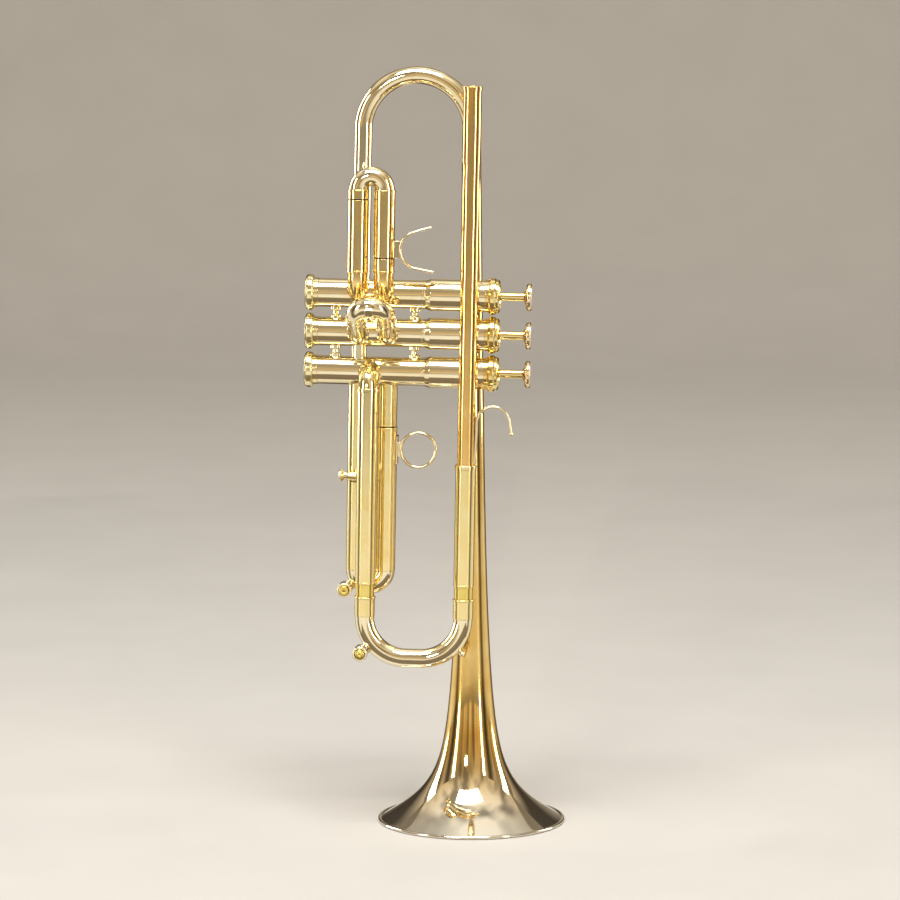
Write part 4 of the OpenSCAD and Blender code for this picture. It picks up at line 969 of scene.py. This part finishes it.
def build_tuning():
    legs, ferrules = Shell(), Shell()
    for x in (PIPE_X, LOWER_X):
        pipe(legs, (x, PIPE_Y, 0), Z, 153.52, 225, LEG_R, LEG_BORE_R, 96)
        pipe(ferrules, (x, PIPE_Y, 0), Z, 140.7, 153.5, SLEEVE_R, LEG_BORE_R, 96, 0.2,
             beads=[(152.2, 153.5, BEAD_R)])
    piece("tuning_slide_legs", legs, "tuning_slide", "bare_brass")
    piece("tuning_slide_ferrules", ferrules, "tuning_slide", "slide")
    s = Shell()
    r, top = 27, 140.68
    path = join(arc((PIPE_X - r, PIPE_Y, top), X, Z, r, 0, -90, 3),
                line((PIPE_X - r, PIPE_Y, top - r), (LOWER_X + r, PIPE_Y, top - r), 2),
                arc((LOWER_X + r, PIPE_Y, top), X, Z, r, 270, 180, 3))
    sweep(s, path, 6.15, 80, head=[(2, 0), (2, LEG_BORE_R), (0, LEG_BORE_R), (0, 6.15)])
    piece("tuning_slide_crook", s, "tuning_slide")
    s = Shell()
    a = math.radians(-41)
    d = np.array([math.cos(a), 0, math.sin(a)])
    at = np.array([PIPE_X - r, PIPE_Y, 140.7])
    lathe(s, [(32.6, 0), (32.6, 2.0), (33.3, 1.9, 0.5), (33.7, 1.2, 0.4), (34.6, 1.2), (34.6, 0)], at, d, 32)
    ball(s, at + d * 35.55, 1.8, d)
    piece("tuning_pull_nib", s, "tuning_slide")

    screw_tip = [(7.0, 3.1, 0.4), (7.1, 1.9, 0.2), (7.9, 1.7, 0.6), (7.9, 0.6, 0.1), (7.3, 0.6), (7.3, 0)]
    plain_tip = [(7.9, 3.1, 0.5), (7.9, 0.9, 0.15), (5.9, 0.9), (5.9, 0)]
    for name, toward, tip in (("tuning_key", (29.3, 0, 24.35), screw_tip),
                              ("third_key", (16.5, 0, 13.3), plain_tip)):
        body, at = KEYS[name]
        s = Shell()
        lathe(s, [(-6.5, 1.2), (-6.5, 3.0, 0.3), (-5.9, 4.3, 0.4), (-5.2, 4.7, 0.4), (4.6, 4.7, 0.2),
                  (4.9, 4.4, 0.2), (5.2, 4.7, 0.2), (6.5, 4.7, 0.45), (6.5, 3.45, 0.25), (-5.3, 3.45),
                  (-5.3, 1.2)], at, -Y, 72, closed=True)
        post(s, np.array(at), toward, Y, 6.4, (4.6, 0), None, [(5.3, 3.4), (6.4, 3.4)])
        piece(f"{name}_barrel", s, body)
        s = Shell()
        lathe(s, [(-1.4, 0), (-1.4, 3.4), (0.6, 3.4), (0.9, 2.85, 0.2), (1.5, 2.85, 0.2), (1.8, 3.4),
                  (5.1, 3.4, 0.2), (5.1, 3.1, 0.1), *tip], at, -Y, 56)
        piece(f"{name}_plunger", s, name, "bare_brass")


def build_springs():
    """Each spring stands on the body that holds its fixed end, and has a mesh of its own."""
    springs = [(f"valve_spring_{i}", f"valve_{i}_press", "root", (0, VALVE_Y, z), X, Z, 5.9, 0.35,
                -28.58, 2.0, 8, 16) for i, z in enumerate(VALVE_Z, 1)]
    springs += [(name + "_spring", name + "_press", body, at, -Y, X, 2.2, 0.25, -5.0, -1.6, 3, 2)
                for name, (body, at) in KEYS.items()]
    for node, joint, body, at, axis, side, r, wire, a, b, turns, travel in springs:
        s = Shell()
        coil(s, at, axis, side, r, wire, a, b, turns)
        obj = piece(node, s, body, "spring_steel")
        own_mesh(obj)


build_bell()
build_pipe()
build_valves()
build_first()
build_second()
build_third()
build_tuning()
build_springs()

# what the CAD already draws well keeps its mesh, and takes its material here
for node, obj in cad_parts.items():
    if node in made:
        continue
    look = ("felt" if "felt" in node or "cork" in node else
            "nickel_alloy" if "piston" in node else "bare_brass")
    for k in range(max(1, len(obj.material_slots))):
        if not obj.material_slots:
            obj.data.materials.append(MATERIALS[look])
        obj.material_slots[k].material = MATERIALS[look]

# ---------------- stage and light

def build_stage():
    """A pale floor that turns up into a wall well behind the object."""
    m = Nodes("stage_paper")
    grain = m.noise(9, 5.0, 0.6)
    paper = m.mix(m.span(grain, 0, 1, 0.3, 0.7), (0.46, 0.45, 0.435), (0.48, 0.47, 0.455))
    m.link(paper, m.shader.inputs["Base Color"])
    m.link(m.span(grain, 0.7, 0.85), m.shader.inputs["Roughness"])
    m.bump((m.noise(700), 0.08, 0.0003))
    prof = [(-14.0, 0.0), (2.6, 0.0)]
    prof += [(2.6 + 1.4 * math.sin(a), 1.4 - 1.4 * math.cos(a)) for a in np.radians(np.arange(6, 91, 6))]
    prof += [(4.0, 5.0)]
    verts = [(sx * 12.0, y, z) for y, z in prof for sx in (-1, 1)]
    faces = [(2 * i, 2 * i + 1, 2 * i + 3, 2 * i + 2) for i in range(len(prof) - 1)]
    mesh = bpy.data.meshes.new("floor")
    mesh.from_pydata(verts, [], faces)
    mesh.polygons.foreach_set("use_smooth", [True] * len(faces))
    mesh.materials.append(m.mat)
    floor = bpy.data.objects.new("floor", mesh)
    scene.collection.objects.link(floor)


def softbox(name, at, target, width, height, power, color=(1, 1, 1), floor=True):
    """A soft panel. With floor=False it shows in the metal only, and leaves the paper evenly lit."""
    data = bpy.data.lights.new(name, "AREA")
    data.shape = "RECTANGLE"
    data.size, data.size_y = width, height
    data.energy = power
    data.color = color
    obj = bpy.data.objects.new(name, data)
    obj.location = at
    obj.rotation_euler = (Vector(target) - Vector(at)).to_track_quat("-Z", "Y").to_euler()
    obj.visible_camera = False
    obj.visible_diffuse = floor
    scene.collection.objects.link(obj)


def flag(name, corners, shade, heading=None, spread=1.0):
    """A brown cloth panel beside the lights, seen only as a dark band reflected in the metal. With a
    heading, from straight in front of the object, it pales to the floor's tone at that spread either side."""
    m = Nodes("stage_cloth_" + name)
    weave = m.noise(60, 3.0, 0.6)
    low, high = (tuple(shade * k * c for c in (1, 0.78, 0.52)) for k in (0.7, 1.3))
    tone = m.mix(m.span(weave, 0, 1, 0.3, 0.7), low, high)
    if heading is not None:
        xyz = m.xyz()
        turn = m.math("ARCTAN2", xyz["X"], m.math("MULTIPLY", xyz["Y"], -1.0))
        off = m.math("ABSOLUTE", m.math("SUBTRACT", turn, math.radians(heading)), 0.0)
        pale = m.span(off, 0, 1, math.radians(spread * 0.25), math.radians(spread))
        tone = m.mix(pale, tone, (0.44, 0.40, 0.34))
    m.link(tone, m.shader.inputs["Base Color"])
    m.link(m.span(weave, 0.8, 0.95), m.shader.inputs["Roughness"])
    m.bump((m.noise(500), 0.2, 0.0005))
    mesh = bpy.data.meshes.new(name)
    mesh.from_pydata(corners, [], [(0, 1, 2, 3)])
    mesh.materials.append(m.mat)
    obj = bpy.data.objects.new(name, mesh)
    obj.visible_camera = obj.visible_diffuse = obj.visible_shadow = False
    scene.collection.objects.link(obj)


def upright(name, heading, spread, shade, near=0.2, far=1.7, top=1.2, clear=0.003):
    """A flag that stands on the floor, and its runner along the floor towards the object."""
    a, b = (np.radians(heading + s * spread) for s in (-1, 1))

    def corners(*places):
        return [(math.sin(g) * d, -math.cos(g) * d, z) for g, d, z in places]

    flag(name, corners((a, far, 0), (b, far, 0), (b, far, top), (a, far, top)), shade, heading, spread)
    flag(name + "_runner", corners((a, near, clear), (b, near, clear), (b, far, clear), (a, far, clear)),
         shade, heading, spread)


def build_room():
    """A soft warm room: mid gold at eye level, cream overhead, with slow upright changes of brightness."""
    scene.world = bpy.data.worlds.new("room")
    m = Nodes("room", scene.world)
    tone = m.ramp(m.xyz()["Z"], [(0.0, (0.60, 0.46, 0.29)), (0.12, (0.46, 0.34, 0.20)),
                                 (0.45, (0.40, 0.31, 0.20)), (0.75, (0.62, 0.55, 0.45)),
                                 (1.0, (0.80, 0.76, 0.68))])
    m.link(tone, m.shader.inputs["Color"])
    drift = m.noise(3.2, 1.5, 0.5, stretch=(1, 1, 0.12))
    m.link(m.span(drift, 0.50, 1.60, 0.38, 0.62), m.shader.inputs["Strength"])


build_stage()
build_room()
AIM = (0, 0, 0.28)
softbox("left_edge", (-2.0, 1.0, 0.6), AIM, 0.55, 2.2, 39, (1, 0.97, 0.90), False)
softbox("left", (-2.2, -1.3, 0.7), AIM, 0.45, 1.9, 23, (1, 0.96, 0.88), False)
softbox("right", (1.9, -1.7, 0.7), AIM, 0.25, 1.9, 19, (1, 0.97, 0.92), False)
softbox("right_edge", (2.1, 0.9, 0.6), AIM, 0.5, 2.2, 28, (1, 0.93, 0.80), False)
softbox("top", (-0.1, -1.0, 2.6), AIM, 1.8, 1.0, 105, (1, 0.98, 0.94))
softbox("front", (-0.9, -3.3, 1.4), AIM, 0.5, 0.5, 17, (1, 0.96, 0.9))
flag("low_front", [(-0.4, -0.5, 0.004), (0.4, -0.5, 0.004), (0.3, -0.085, 0.004), (-0.3, -0.085, 0.004)],
     0.10)
for name, heading, spread, shade in (("back_left", -154, 24, 0.03), ("back_right", 154, 24, 0.03),
                                     ("side_left", -78, 15, 0.05), ("side_right", 70, 15, 0.05)):
    upright(name, heading, spread, shade)

scene.view_settings.view_transform = "Standard"

# ---------------- finish

bpy.context.view_layer.update()
